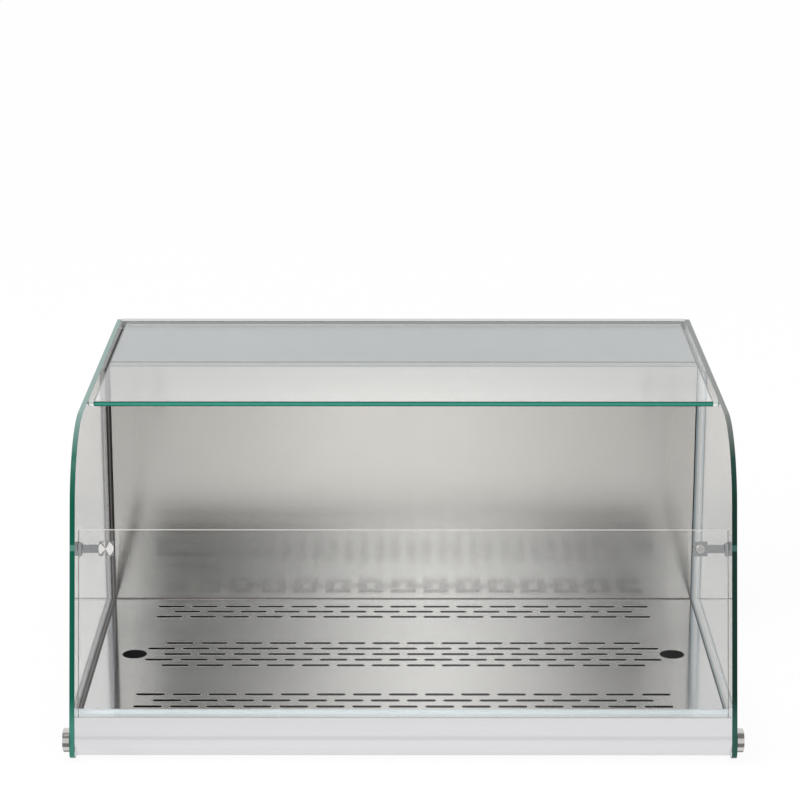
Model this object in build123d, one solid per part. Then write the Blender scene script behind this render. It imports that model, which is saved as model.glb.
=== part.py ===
from build123d import *
import math
import os

os.makedirs("parts", exist_ok=True)

# Refrigerated display case for a counter. X runs to the right, Y to the back and Z up.
# The origin is the middle of the case on the counter. All sizes are in millimetres.

# Overall sizes
width_over_glass = 770.0
case_depth = 650.0
top_height = 369.0
glass_thickness = 6.0
glass_foot = 3.0
lean_angle = 16.2
top_bend_radius = 115.0
front_corner_radius = 12.0
rear_corner_radius = 5.0
glass_edge_chamfer = 0.6

# Clearances
slip = 0.3
bore_slip = 0.05
screw_slip = 0.1

# Interior
floor_top = 50.0
floor_plate_thickness = 1.0
machine_depth = 227.0
sheet = 1.2
seal_width = 6.5
seal_depth = 6.3
seal_front_gap = 1.0

# Front panel and its groove
panel_thickness = 4.0
panel_setback = 5.0
panel_side_gap = 3.5
panel_height = 227.0
panel_edge_chamfer = 0.8
groove_depth = 8.0

# Fascia
fascia_land = 50.0
fascia_lip_rise = 2.0
fascia_leg_rise = 3.0
fascia_leg_thickness = 3.0
fascia_depth = 37.0
fascia_fold = 30.0
fascia_bottom = 6.8
toe_setback = 9.0
belly_setback = 2.7
fascia_wall = 2.0
fascia_setback = 0.4

# Top glass and rear rail
serving_depth = 233.0
top_glass_side_gap = 7.0
top_glass_drop = 0.25
spacer_length = 12.0
cover_drop = 11.0
rail_depth = 13.8
rail_height = 24.0
rail_wall = 1.8
rail_shelf = 11.0
gasket_depth = 4.0

# Glass fixings
cap_radius = 14.0
cap_height = 8.0
cap_bevel = 1.2
stud_radius = 4.0
sleeve_wall = 1.9
front_fixing_setback = 14.0
front_fixing_height = 23.6
rear_fixing_setback = 29.0
rear_fixing_height = 24.0
front_stud_length = 24.0
port_wall = 2.5

# Panel connectors, measured along the leaning plane of the panel
connector_rise = 197.1
connector_inset = 36.3
head_plate_size = 17.0
head_plate_radius = 1.0
plate_thickness = 2.0
arm_height = 9.5
pin_radius = 1.3
pin_inset = 6.0
knuckle_radius = 2.5
pin_head_radius = 3.2
pin_head_height = 1.6
leaf_thickness = 2.5
leaf_length = 18.0
leaf_height = 16.0
knuckle_split = -1.5
knuckle_foot = -7.5
pin_tail = 1.5
glass_screw_inset = 10.0
glass_screw_radius = 3.8
glass_hole_radius = 4.0
leaf_screw_radius = 1.9
socket_size = 1.8
socket_depth = 2.0
bolt_radius = 2.4
bush_radius = 3.8
panel_hole_radius = 4.0
bolt_head_radius = 5.5
bolt_head_height = 3.2
bolt_head_round = 1.92
knob_radius = 8.6
knob_height = 7.0
knob_chamfer = 0.8
nut_radius = 7.0
nut_height = 3.5

# Floor plate openings
slot_length = 33.5
slot_width = 6.0
slot_pitch = 42.6
row_pitch = 19.0
middle_row_shift = 7.5
group_margin = 41.0
finger_hole_radius = 15.0
finger_hole_inset = 42.6

# Base
tray_bottom = 6.0
tray_side_height = 44.0
tray_front_height = 40.0
tray_rear_height = 30.0
foam_thickness = 12.8
liner_wall = 1.0
liner_side_gap = 20.2
liner_front_gap = 8.0
liner_rear_gap = 18.0
rim_side_gap = 1.7
rim_front_gap = 1.0
rim_rear_gap = 1.5
foot_radius = 15.0
foot_stem_radius = 4.0
foot_stem_length = 3.0
foot_stem_gap = 2.0
foot_round = 1.5
foot_side_inset = 65.0
foot_front_inset = 63.0
foot_rear_inset = 40.0
drain_side_inset = 62.0
drain_front_inset = 80.0
drain_radius = 8.0
drain_wall = 2.0
drain_flange_radius = 13.0
drain_flange_thickness = 1.0
drain_end = 2.5

# Machine compartment
foam_wall = 15.0
foam_foot = 60.0
foam_gap = 8.0
side_flange = 16.0
rear_cover_setback = 5.8
louvre_width = 140.0
louvre_pitch = 16.0
louvre_count = 11
louvre_foot = 70.0
louvre_offsets = (195.0, 385.0)
louvre_rise = 2.2
louvre_slot = 4.0
louvre_hood = 7.0
cover_screw_radius = 2.0
cover_screw_head = 4.0
cover_screw_head_height = 1.8
cover_screw_length = 7.0
cover_screw_foot_inset = 30.0
cover_screw_head_inset = 20.0
pipe_window_width = 34.0
pipe_window_height = 20.0
pipe_window_reach = 5.0

# Refrigeration
compressor_side_inset = 157.2
compressor_setback = 107.0
shell_radius = 68.0
shell_crown = 50.0
shell_heel = 22.0
shell_height = 162.0
shell_flange = 4.0
shell_flange_height = 5.0
mount_plate_length = 196.0
mount_plate_width = 124.0
mount_plate_thickness = 3.0
mount_plate_corner = 10.0
grommet_radius = 11.0
grommet_height = 13.8
grommet_inset = 14.0
mount_bolt_radius = 3.0
mount_bolt_head = 6.0
mount_bolt_head_height = 4.0
terminal_cover_proud = 22.0
terminal_cover_sunk = 20.0
terminal_cover_width = 48.0
terminal_cover_foot = 50.0
terminal_cover_head = 100.0
terminal_cover_round = 4.0
pipe_radius = 4.0
bend_radius = 12.0
small_bend = 6.0
bend_slip = 0.01
port_height = 126.0
capillary_radius = 1.5
capillary_bend = 10.0
capillary_small_bend = 3.4
capillary_lane = 29.0
capillary_drop = 30.0
capillary_rise = 5.0
drier_radius = 10.0
drier_length = 90.0
drier_taper = 14.0
drier_gap = 44.0
drier_offset = 120.0
suction_lane = 17.0
suction_turn = 13.0
discharge_turn = 30.0
condenser_setback = 25.2
condenser_depth = 40.0
condenser_offset = 155.0
condenser_overrun = 20.0
condenser_fin_count = 36
condenser_fin_pitch = 6.0
condenser_rows = 8
condenser_row_pitch = 24.0
condenser_first_row = 50.0
fin_thickness = 0.6
shroud_gap = 2.0
shroud_margin = 6.0
collar_length = 10.0
condenser_fan_radius = 76.0
fan_tip_gap = 3.0
fan_motor_radius = 28.0
fan_motor_length = 30.0
fan_motor_round = 3.0
fan_shaft_radius = 2.5
fan_hub_radius = 18.0
fan_hub_length = 12.0
fan_blade_count = 5
fan_blade_thickness = 1.6
fan_blade_pitch = 28.0
blade_root = 3.0
strap_width = 14.0
evaporator_side_gap = 147.0
evaporator_overrun = 18.0
evaporator_fin_pitch = 8.2
evaporator_rows = 4
evaporator_row_pitch = 25.0
evaporator_rear_gap = 130.0
evaporator_height = 24.0
small_fan_side_inset = 52.0
small_fan_rear_inset = 90.0
small_fan_size = 92.0
small_fan_height = 24.0
small_fan_bore = 43.0
small_fan_hub = 17.0
small_fan_base = 5.0
small_fan_spindle = 2.0
small_fan_corner = 5.0
small_fan_spoke = 4.0
small_fan_spindle_drop = 4.0
small_fan_gap = 1.0
small_fan_top_gap = 1.5
small_blade_count = 7
small_blade_chord = 20.0
small_blade_thickness = 1.2
small_blade_pitch = 35.0

# Operator controls on the back
control_drop = 69.0
controller_side_inset = 110.2
controller_width = 71.0
controller_tall = 29.0
controller_depth = 56.0
bezel_margin = 3.6
bezel_thickness = 2.5
bezel_chamfer = 0.8
display_width = 34.0
display_tall = 16.0
display_depth = 1.5
display_drop = 0.2
display_shift = 14.0
button_radius = 3.4
button_pitch = 10.0
button_shift = -22.0
button_proud = 1.2
button_travel = 0.8
button_length = 5.0
button_round = 0.5
switch_side_inset = 192.2
switch_width = 14.6
switch_tall = 21.6
switch_depth = 18.0
switch_frame_wall = 1.8
switch_bezel_margin = 1.5
switch_bezel_thickness = 2.0
paddle_thickness = 5.0
paddle_tilt = 6.0
paddle_axle = 1.5
paddle_dip = 1.0
inlet_side_inset = 192.2
inlet_height = 75.0
inlet_width = 28.0
inlet_tall = 20.0
inlet_depth = 22.0
inlet_wall = 1.9
inlet_flange_width = 50.0
inlet_flange_margin = 2.0
inlet_flange_thickness = 3.0
inlet_floor = 5.0
inlet_pin_width = 2.0
inlet_pin_tall = 4.0
inlet_pin_length = 12.0
inlet_pin_spread = 7.0
inlet_pin_rise = 0.5
inlet_earth_rise = 4.0

# Places that follow from the sizes above
outer_half = width_over_glass / 2
inner_half = outer_half - glass_thickness
body_half = inner_half - seal_width - slip
half_depth = case_depth / 2
lean = math.radians(lean_angle)
front_fixing = (front_fixing_setback - half_depth, front_fixing_height)
rear_fixing = (half_depth - rear_fixing_setback, rear_fixing_height)
fascia_rear = fascia_depth - half_depth
fascia_toe = toe_setback - half_depth
fascia_belly = belly_setback - half_depth
tray_top = tray_bottom + sheet
liner_bottom = tray_top + foam_thickness
floor_bottom = floor_top - floor_plate_thickness
wall_front = half_depth - machine_depth
wall_back = wall_front + sheet
cover_top = top_height - cover_drop
cover_bottom = cover_top - sheet
foam_head = cover_top - foam_gap
top_glass_front = serving_depth - half_depth
top_glass_top = top_height - top_glass_drop
top_glass_bottom = top_glass_top - glass_thickness
top_glass_half = inner_half - top_glass_side_gap
rail_front = half_depth - rail_depth
rail_bottom = top_height - rail_height
rear_cover_back = half_depth - rear_cover_setback
rear_cover_front = rear_cover_back - sheet
sleeve_radius = stud_radius + sleeve_wall
panel_half = inner_half - panel_side_gap
pin_x = inner_half - pin_inset
connector_offset = inner_half - connector_inset
middle_row = (fascia_rear + wall_front) / 2 - middle_row_shift
group_pitch = (wall_front - fascia_rear) / 2 - group_margin
finger_hole_offset = body_half - finger_hole_inset
slots_in_long_row = int(2 * finger_hole_offset / slot_pitch)
liner_half = body_half - liner_side_gap
liner_front = fascia_rear + liner_front_gap
liner_rear = wall_front - liner_rear_gap
drain_place = (liner_half - drain_side_inset, liner_front + drain_front_inset)
foot_offset = outer_half - foot_side_inset
foot_front = foot_front_inset - half_depth
foot_rear = half_depth - foot_rear_inset
cover_screw_low = tray_rear_height + cover_screw_foot_inset
cover_screw_high = rail_bottom - cover_screw_head_inset
cover_screw_heights = (
    cover_screw_low, (cover_screw_low + cover_screw_high) / 2, cover_screw_high
)
compressor_x = compressor_side_inset - body_half
compressor_y = wall_front + compressor_setback
mount_plate_bottom = tray_top + grommet_height
shell_bottom = mount_plate_bottom + mount_plate_thickness
drier_x = compressor_x + drier_offset
condenser_left = compressor_x + condenser_offset
condenser_y = rear_cover_back - condenser_setback
shroud_back = condenser_y - condenser_depth / 2 - shroud_gap
collar_front = shroud_back - sheet - collar_length
fan_middle = collar_front + collar_length / 2
strap_y = fan_middle - fan_hub_length - fan_motor_length
evaporator_half = liner_half - evaporator_side_gap
evaporator_first_row = liner_rear - evaporator_rear_gap
evaporator_z = liner_bottom + liner_wall + evaporator_height / 2
evaporator_end = evaporator_half + evaporator_overrun
suction_x = -evaporator_end - suction_lane
capillary_x = -evaporator_half - capillary_lane
pipe_window_x = (suction_x + capillary_x) / 2
small_fan_offset = liner_half - small_fan_side_inset
small_fan_y = liner_rear - small_fan_rear_inset
control_height = top_height - control_drop
controller_x = controller_side_inset - body_half
switch_x = switch_side_inset - body_half
inlet_x = inlet_side_inset - body_half


def block(x0, x1, y0, y1, z0, z1):
    """A box between two corners."""
    size = Box(x1 - x0, y1 - y0, z1 - z0)
    return Pos((x0 + x1) / 2, (y0 + y1) / 2, (z0 + z1) / 2) * size


def rod(start, end, radius):
    """A round bar from one point to another."""
    way = Vector(*end) - Vector(*start)
    plane = Plane(origin=start, z_dir=way)
    bottom = (Align.CENTER, Align.CENTER, Align.MIN)
    return plane * Cylinder(radius, way.length, align=bottom)


def both_sides(shape):
    """A piece on the right and its mirror image on the left."""
    return [shape, mirror(shape, about=Plane.YZ)]


def solids_of(pieces):
    """Every solid of one shape or of a list of shapes."""
    if not isinstance(pieces, (list, tuple)):
        pieces = [pieces]
    return [solid for piece in pieces for solid in piece.solids()]


def save(name, pieces):
    """Write one sub-part, which may be a group of separate solids."""
    found = solids_of(pieces)
    whole = found[0] if len(found) == 1 else Compound(found)
    export_step(whole, f"parts/{name}.step")


def front_line_y(z):
    """Y of the leaning front edge of the side glass at a height, tangent to the corner's arc."""
    centre_y = -half_depth + front_corner_radius
    centre_z = glass_foot + front_corner_radius
    touch_y = centre_y - front_corner_radius * math.cos(lean)
    touch_z = centre_z + front_corner_radius * math.sin(lean)
    return touch_y + (z - touch_z) * math.tan(lean)


def leaning_yz(setback, rise):
    """Y and Z of a point a setback behind the glass's front edge and a rise up along it."""
    y = front_line_y(floor_top) + rise * math.sin(lean) + setback * math.cos(lean)
    z = floor_top + rise * math.cos(lean) - setback * math.sin(lean)
    return y, z


# The leaning frame: local X to the right, local Y up along the panel, local Z out to the front
front_frame = Plane(
    origin=(0, front_line_y(floor_top), floor_top),
    x_dir=(1, 0, 0),
    z_dir=(0, -math.cos(lean), math.sin(lean)),
)
groove_rise = (floor_top - fascia_land) / math.cos(lean) - groove_depth
panel_foot = groove_rise + slip
panel_front = -panel_setback
panel_back = panel_front - panel_thickness


def side_outline():
    """The side glass's outline in Y and Z, with a wide bend where the front meets the top."""
    corners = (
        (front_line_y(glass_foot), glass_foot),
        (front_line_y(top_height), top_height),
        (half_depth, top_height),
        (half_depth, glass_foot),
    )
    radii = [front_corner_radius, top_bend_radius, rear_corner_radius, rear_corner_radius]
    return make_face(FilletPolyline(*corners, radius=radii, close=True))


def across(face, x0, x1):
    """A face drawn in Y and Z, carried along X."""
    return extrude(Plane.YZ.offset(x0) * face, amount=x1 - x0)


def side_glass():
    """The right-hand side glass with its fixing holes and polished edges."""
    pane = across(side_outline(), inner_half, outer_half)
    rims = pane.faces().filter_by(Axis.X).edges()
    pane = chamfer(rims, glass_edge_chamfer)
    for y, z in (front_fixing, rear_fixing):
        radius = sleeve_radius + bore_slip
        pane -= rod((inner_half - 1, y, z), (outer_half + 1, y, z), radius)
    hole = rod(
        (inner_half - 1, connector_rise, -glass_screw_inset),
        (outer_half + 1, connector_rise, -glass_screw_inset),
        glass_hole_radius,
    )
    return pane - front_frame * hole


def glass_caps():
    """The round cap with its threaded stud, at each place where the glass is clamped."""
    caps = []
    for place, reach in ((front_fixing, front_stud_length), (rear_fixing, seal_width)):
        y, z = place
        head = rod((outer_half, y, z), (outer_half + cap_height, y, z), cap_radius)
        face = head.faces().sort_by(Axis.X)[-1]
        head = chamfer(face.edges(), cap_bevel)
        stud = rod((inner_half - reach, y, z), (outer_half, y, z), stud_radius)
        caps += both_sides(head + stud)
    return caps


def glass_sleeves():
    """Clear sleeves that keep the studs off the glass."""
    sleeves = []
    for y, z in (front_fixing, rear_fixing):
        tube = rod((inner_half, y, z), (outer_half, y, z), sleeve_radius)
        tube -= rod((inner_half, y, z), (outer_half, y, z), stud_radius + bore_slip)
        sleeves += both_sides(tube)
    return sleeves


def top_glass():
    """The flat top pane."""
    pane = block(
        -top_glass_half,
        top_glass_half,
        top_glass_front,
        rail_front,
        top_glass_bottom,
        top_glass_top,
    )
    return chamfer(pane.edges(), glass_edge_chamfer)


def top_glass_spacers():
    """Clear blocks between the top pane's front corners and the side glasses."""
    piece = block(
        top_glass_half,
        inner_half,
        top_glass_front + glass_edge_chamfer,
        top_glass_front + spacer_length,
        top_glass_bottom + glass_edge_chamfer,
        top_glass_top - glass_edge_chamfer,
    )
    return both_sides(piece)


def top_glass_gasket():
    """The clear strip on the back wall's top edge that the top pane lies on."""
    return block(
        -top_glass_half,
        top_glass_half,
        wall_front,
        wall_front + gasket_depth,
        cover_top,
        top_glass_bottom,
    )


def rear_rail():
    """The box rail between the side glasses, with a shelf under the top pane."""
    half = inner_half - slip / 2
    rail = block(-half, half, rail_front, half_depth, rail_bottom, top_height)
    rail -= block(
        -half,
        half,
        rail_front + rail_wall,
        half_depth - rail_wall,
        rail_bottom + rail_wall,
        top_height - rail_wall,
    )
    shelf = block(
        -top_glass_half,
        top_glass_half,
        rail_front - rail_shelf,
        rail_front,
        top_glass_bottom - rail_wall,
        top_glass_bottom,
    )
    return rail + shelf


def front_fascia():
    """The front extrusion, with a groove for the panel and a port for the cap's stud."""
    lip_z = fascia_land + fascia_lip_rise
    leg_front = fascia_rear - fascia_leg_thickness
    leg_top = fascia_land + fascia_leg_rise
    lip = (front_line_y(lip_z) + fascia_setback, lip_z)
    fold = (front_line_y(fascia_fold) + fascia_setback, fascia_fold)
    toe = (fascia_toe, fascia_bottom)
    belly = (fascia_belly, (fascia_fold + fascia_bottom) / 2)
    lip_back = leaning_yz(panel_setback - slip, fascia_lip_rise)[0]
    edges = [
        Line(lip, fold),
        ThreePointArc(fold, belly, toe),
        Line(toe, (fascia_rear, fascia_bottom)),
        Line((fascia_rear, fascia_bottom), (fascia_rear, leg_top)),
        Line((fascia_rear, leg_top), (leg_front, leg_top)),
        Line((leg_front, leg_top), (leg_front, fascia_land)),
        Line((leg_front, fascia_land), (lip_back, fascia_land)),
        Line((lip_back, fascia_land), (lip_back, lip_z)),
        Line((lip_back, lip_z), lip),
    ]
    outside = make_face(edges)
    inner_front = front_line_y(fascia_fold) + fascia_setback + 2 * fascia_wall
    port_y, port_z = front_fixing
    port_radius = stud_radius + port_wall
    chamber = make_face(
        Polyline(
            (inner_front, fascia_bottom + fascia_wall),
            (fascia_rear - fascia_wall, fascia_bottom + fascia_wall),
            (fascia_rear - fascia_wall, fascia_land - fascia_wall),
            (leaning_yz(panel_setback + panel_thickness, groove_rise)[0] + fascia_wall,
             fascia_land - fascia_wall),
            (leaning_yz(panel_setback + panel_thickness, groove_rise)[0] + fascia_wall,
             fascia_land - groove_depth - 2 * fascia_wall),
            (inner_front, fascia_land - groove_depth - 2 * fascia_wall),
            close=True,
        )
    )
    port = Pos(port_y, port_z) * Circle(port_radius)
    half = inner_half - slip / 2
    bar = across(outside - chamber, -half, half)
    boss = across(port, -half, half)
    stud_hole = rod(
        (-half, port_y, port_z), (half, port_y, port_z), stud_radius + bore_slip
    )
    groove = front_frame * block(
        -half,
        half,
        groove_rise,
        groove_rise + 3 * groove_depth,
        panel_back - slip,
        panel_front + slip,
    )
    return bar + boss - stud_hole - groove


def front_panel():
    """The clear removable panel, with a hole for each connector bolt."""
    pane = block(
        -panel_half, panel_half, panel_foot, panel_foot + panel_height, panel_back, panel_front
    )
    pane = chamfer(pane.edges(), panel_edge_chamfer)
    for side in (-1, 1):
        x = side * connector_offset
        hole = rod(
            (x, connector_rise, panel_back - 1), (x, connector_rise, panel_front + 1),
            panel_hole_radius,
        )
        pane -= hole
    return front_frame * pane


def panel_bushes():
    """Clear bushes between the bolts and the panel."""
    bush = rod(
        (connector_offset, connector_rise, panel_back),
        (connector_offset, connector_rise, panel_front),
        bush_radius,
    )
    bush -= rod(
        (connector_offset, connector_rise, panel_back),
        (connector_offset, connector_rise, panel_front),
        bolt_radius + screw_slip,
    )
    return both_sides(front_frame * bush)


def pin_depth():
    """How far the pin's axis stands in front of the glass's front edge, along the normal."""
    return panel_front + pin_head_radius + slip


def connector_arm():
    """The arm from the panel to the pin, with a square head and a rolled eye."""
    rise = connector_rise
    half = head_plate_size / 2
    head = RectangleRounded(head_plate_size, head_plate_size, head_plate_radius)
    plate = Pos(connector_offset, rise, panel_front) * extrude(head, plate_thickness)
    arm = block(
        connector_offset + half - 1,
        pin_x,
        rise - arm_height / 2,
        rise + arm_height / 2,
        panel_front + slip,
        panel_front + slip + plate_thickness - slip,
    )
    arm -= block(
        pin_x - knuckle_radius - slip,
        pin_x + 1,
        rise - arm_height,
        rise + knuckle_split,
        panel_front,
        panel_front + 2 * plate_thickness,
    )
    axis_z = pin_depth()
    eye_top = rise + arm_height / 2
    eye = rod((pin_x, rise + knuckle_split, axis_z), (pin_x, eye_top, axis_z), knuckle_radius)
    bore = rod(
        (pin_x, rise - arm_height, axis_z), (pin_x, eye_top + 1, axis_z), pin_radius + bore_slip
    )
    bolt_hole = rod(
        (connector_offset, rise, panel_front - 1),
        (connector_offset, rise, panel_front + plate_thickness + 1),
        bolt_radius + screw_slip,
    )
    return front_frame * (plate + arm + eye - bore - bolt_hole)


def connector_pin():
    """The headed pin that drops through the arm's eye into the leaf."""
    axis_z = pin_depth()
    top = connector_rise + arm_height / 2
    foot = connector_rise + knuckle_foot - pin_tail
    pin = rod((pin_x, foot, axis_z), (pin_x, top, axis_z), pin_radius)
    head = rod((pin_x, top, axis_z), (pin_x, top + pin_head_height, axis_z), pin_head_radius)
    stub = rod((pin_x, top, axis_z), (pin_x, top + 2 * pin_head_height, axis_z), pin_radius)
    return front_frame * (pin + head + stub)


def connector_leaf():
    """The leaf on the side glass, with the lower knuckle that takes the pin."""
    rise = connector_rise
    face = inner_half - leaf_thickness
    plate = block(
        face, inner_half, rise - leaf_height / 2, rise + leaf_height / 2, -leaf_length, 0
    )
    plate -= block(
        face - 1, face + leaf_thickness - 1, rise + knuckle_split, rise + leaf_height, -1, 1
    )
    axis_z = pin_depth()
    knuckle = rod(
        (pin_x, rise + knuckle_foot, axis_z), (pin_x, rise + knuckle_split, axis_z), knuckle_radius
    )
    bridge = block(
        pin_x,
        face,
        rise + knuckle_foot,
        rise + knuckle_split,
        axis_z - knuckle_radius / 2,
        axis_z + knuckle_radius / 2,
    )
    bore = rod(
        (pin_x, rise + knuckle_foot - 1, axis_z), (pin_x, rise, axis_z), pin_radius + bore_slip
    )
    screw_hole = rod(
        (face - 1, rise, -glass_screw_inset),
        (inner_half + 1, rise, -glass_screw_inset),
        leaf_screw_radius + screw_slip,
    )
    return front_frame * (plate + knuckle + bridge - bore - screw_hole)


def glass_screw():
    """The flush screw through the side glass that holds the leaf."""
    rise = connector_rise
    centre = -glass_screw_inset
    plug = rod((inner_half, rise, centre), (outer_half, rise, centre), glass_screw_radius)
    shank = rod(
        (inner_half - leaf_thickness, rise, centre), (inner_half, rise, centre), leaf_screw_radius
    )
    socket_floor = Plane(origin=(outer_half - socket_depth, rise, centre), z_dir=(1, 0, 0))
    socket = socket_floor * extrude(RegularPolygon(socket_size, 6), 2 * socket_depth)
    return front_frame * (plug + shank - socket)


def panel_bolt():
    """The domed bolt on the right of the panel."""
    face = panel_front + plate_thickness
    x = connector_offset
    shank = rod(
        (x, connector_rise, panel_back - nut_height), (x, connector_rise, face), bolt_radius
    )
    head = rod(
        (x, connector_rise, face), (x, connector_rise, face + bolt_head_height), bolt_head_radius
    )
    rim = head.faces().sort_by(Axis.Z)[-1].edges()
    head = fillet(rim, bolt_head_round)
    return front_frame * (shank + head)


def panel_knob():
    """The turned knob with its screw, on the left of the panel."""
    face = panel_front + plate_thickness + slip
    x = -connector_offset
    shank = rod(
        (x, connector_rise, panel_back - nut_height), (x, connector_rise, face), bolt_radius
    )
    head = rod((x, connector_rise, face), (x, connector_rise, face + knob_height), knob_radius)
    rim = head.faces().sort_by(Axis.Z)[-1].edges()
    head = chamfer(rim, knob_chamfer)
    return front_frame * (shank + head)


def panel_nuts():
    """Round nuts behind the panel on both bolts."""
    nut = rod(
        (connector_offset, connector_rise, panel_back - nut_height),
        (connector_offset, connector_rise, panel_back),
        nut_radius,
    )
    nut -= rod(
        (connector_offset, connector_rise, panel_back - nut_height),
        (connector_offset, connector_rise, panel_back),
        bolt_radius + screw_slip,
    )
    return both_sides(front_frame * nut)


def slot_rows():
    """Y of each slot row and how many slots it has: long and short rows take turns."""
    rows = []
    for group, count in ((1, 3), (0, 5), (-1, 3)):
        centre = middle_row + group * group_pitch
        for index in range(count):
            y = centre + (index - (count - 1) / 2) * row_pitch
            offset = index + (1 if count == 5 else 0)
            rows.append((y, slots_in_long_row - offset % 2))
    return rows


def floor_plate():
    """The lift-out floor plate with its slots and two finger holes."""
    outline = Rectangle(2 * body_half, wall_front - fascia_rear - 2 * slip)
    sheet_face = Pos(0, (wall_front + fascia_rear) / 2) * outline
    slot = SlotOverall(slot_length, slot_width)
    cuts = []
    for y, count in slot_rows():
        for index in range(count):
            x = (index - (count - 1) / 2) * slot_pitch
            cuts.append(Pos(x, y) * slot)
    for side in (-1, 1):
        cuts.append(Pos(side * finger_hole_offset, middle_row) * Circle(finger_hole_radius))
    face = sheet_face - cuts
    return Pos(0, 0, floor_bottom) * extrude(face, floor_plate_thickness)


def well_liner():
    """The shallow tub under the floor plate, with a rim that the plate lies on."""
    tub = block(-liner_half, liner_half, liner_front, liner_rear, liner_bottom, floor_bottom)
    rim = block(
        rim_side_gap - body_half,
        body_half - rim_side_gap,
        fascia_rear + rim_front_gap,
        wall_front - rim_rear_gap,
        floor_bottom - liner_wall,
        floor_bottom,
    )
    hollow = block(
        -liner_half + liner_wall,
        liner_half - liner_wall,
        liner_front + liner_wall,
        liner_rear - liner_wall,
        liner_bottom + liner_wall,
        floor_top,
    )
    x, y = drain_place
    drain_hole = rod((x, y, 0), (x, y, floor_top), drain_radius + screw_slip)
    return tub + rim - hollow - drain_hole - pipe_window(liner_rear)


def pipe_window(y):
    """The window that the pipes pass through, cut round a place on Y."""
    return block(
        pipe_window_x - pipe_window_width / 2,
        pipe_window_x + pipe_window_width / 2,
        y - pipe_window_reach,
        y + pipe_window_reach,
        evaporator_z - pipe_window_height / 2,
        evaporator_z + pipe_window_height / 2,
    )


def base_insulation():
    """The foam slab between tray and liner."""
    slab = block(
        -liner_half, liner_half, liner_front, liner_rear, tray_top, liner_bottom
    )
    x, y = drain_place
    slab -= rod((x, y, 0), (x, y, floor_top), drain_radius + slip)
    for place_x, place_y in foot_places():
        stem = rod(
            (place_x, place_y, 0),
            (place_x, place_y, tray_top + foot_stem_length + slip),
            foot_stem_radius + foot_stem_gap,
        )
        slab -= stem
    return slab


def foot_places():
    """X and Y of the four feet."""
    return [(side * foot_offset, y) for side in (-1, 1) for y in (foot_front, foot_rear)]


def base_tray():
    """The folded steel tray that carries everything."""
    tray = block(-body_half, body_half, fascia_rear, rear_cover_back, tray_bottom, tray_side_height)
    tray -= block(
        -body_half + sheet,
        body_half - sheet,
        fascia_rear + sheet,
        rear_cover_back - sheet,
        tray_top,
        tray_side_height + 1,
    )
    tray -= block(
        -body_half + sheet,
        body_half - sheet,
        fascia_rear - 1,
        fascia_rear + 2 * sheet,
        tray_front_height,
        tray_side_height + 1,
    )
    tray -= block(
        -body_half - 1,
        body_half + 1,
        rear_cover_back - sheet,
        rear_cover_back + 1,
        tray_rear_height,
        tray_side_height + 1,
    )
    x, y = drain_place
    tray -= rod((x, y, 0), (x, y, tray_side_height), drain_radius + slip)
    for place_x, place_y in foot_places():
        tray -= rod(
            (place_x, place_y, 0), (place_x, place_y, tray_side_height),
            foot_stem_radius + screw_slip,
        )
    return tray


def side_rail():
    """The bar between the tray and the side glass that carries glass and seal."""
    rail = block(
        body_half, inner_half, fascia_rear, rear_cover_back, tray_bottom, tray_side_height
    )
    y, z = rear_fixing
    rail -= rod((body_half - 1, y, z), (inner_half + 1, y, z), stud_radius + bore_slip)
    return both_sides(rail)


def side_seal():
    """The dark seal along the floor, up the wall and back along the cover, on one side."""
    floor_line = floor_top + slip
    under = cover_top - seal_depth
    behind = wall_front + seal_depth
    outline = Polyline(
        (fascia_rear + seal_front_gap, tray_side_height),
        (fascia_rear + seal_front_gap, floor_line),
        (wall_front, floor_line),
        (wall_front, cover_top),
        (rail_front - slip, cover_top),
        (rail_front - slip, under),
        (behind, under),
        (behind, tray_side_height),
        close=True,
    )
    return across(make_face(outline), inner_half - seal_width, inner_half)


def feet():
    """Rubber feet with stems pushed into the tray."""
    pads = []
    for x, y in foot_places():
        pad = rod((x, y, 0), (x, y, tray_bottom), foot_radius)
        pad = fillet(pad.faces().sort_by(Axis.Z)[0].edges(), foot_round)
        stem_top = tray_top + foot_stem_length
        pads.append(pad + rod((x, y, tray_bottom), (x, y, stem_top), foot_stem_radius))
    return pads


def drain_spout():
    """The condensate spout from the tub down through the tray."""
    x, y = drain_place
    top = liner_bottom + liner_wall
    tube = rod((x, y, drain_end), (x, y, top), drain_radius)
    flange_top = top + drain_flange_thickness
    flange = rod((x, y, top), (x, y, flange_top), drain_flange_radius)
    bore = rod((x, y, 0), (x, y, flange_top + 1), drain_radius - drain_wall)
    return tube + flange - bore


def back_wall():
    """The brushed inner back wall."""
    wall = block(-body_half, body_half, wall_front, wall_back, tray_top, cover_bottom)
    wall -= block(
        -body_half - 1, -body_half + sheet, wall_front - 1, wall_back + 1, 0, tray_side_height
    )
    wall -= block(
        body_half - sheet, body_half + 1, wall_front - 1, wall_back + 1, 0, tray_side_height
    )
    return wall - pipe_window(wall_front)


def wall_insulation():
    """The foam slab behind the back wall."""
    half = body_half - sheet - side_flange / 4
    return block(-half, half, wall_back, wall_back + foam_wall, foam_foot, foam_head)


def machine_top_cover():
    """The steel cover over the machine compartment, with a folded rear edge."""
    top = block(-body_half, body_half, wall_front, rail_front - slip, cover_bottom, cover_top)
    lip = block(
        -body_half + 2 * sheet,
        body_half - 2 * sheet,
        rail_front - slip - sheet,
        rail_front - slip,
        cover_bottom - 3 * sheet,
        cover_bottom,
    )
    return top + lip


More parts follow.
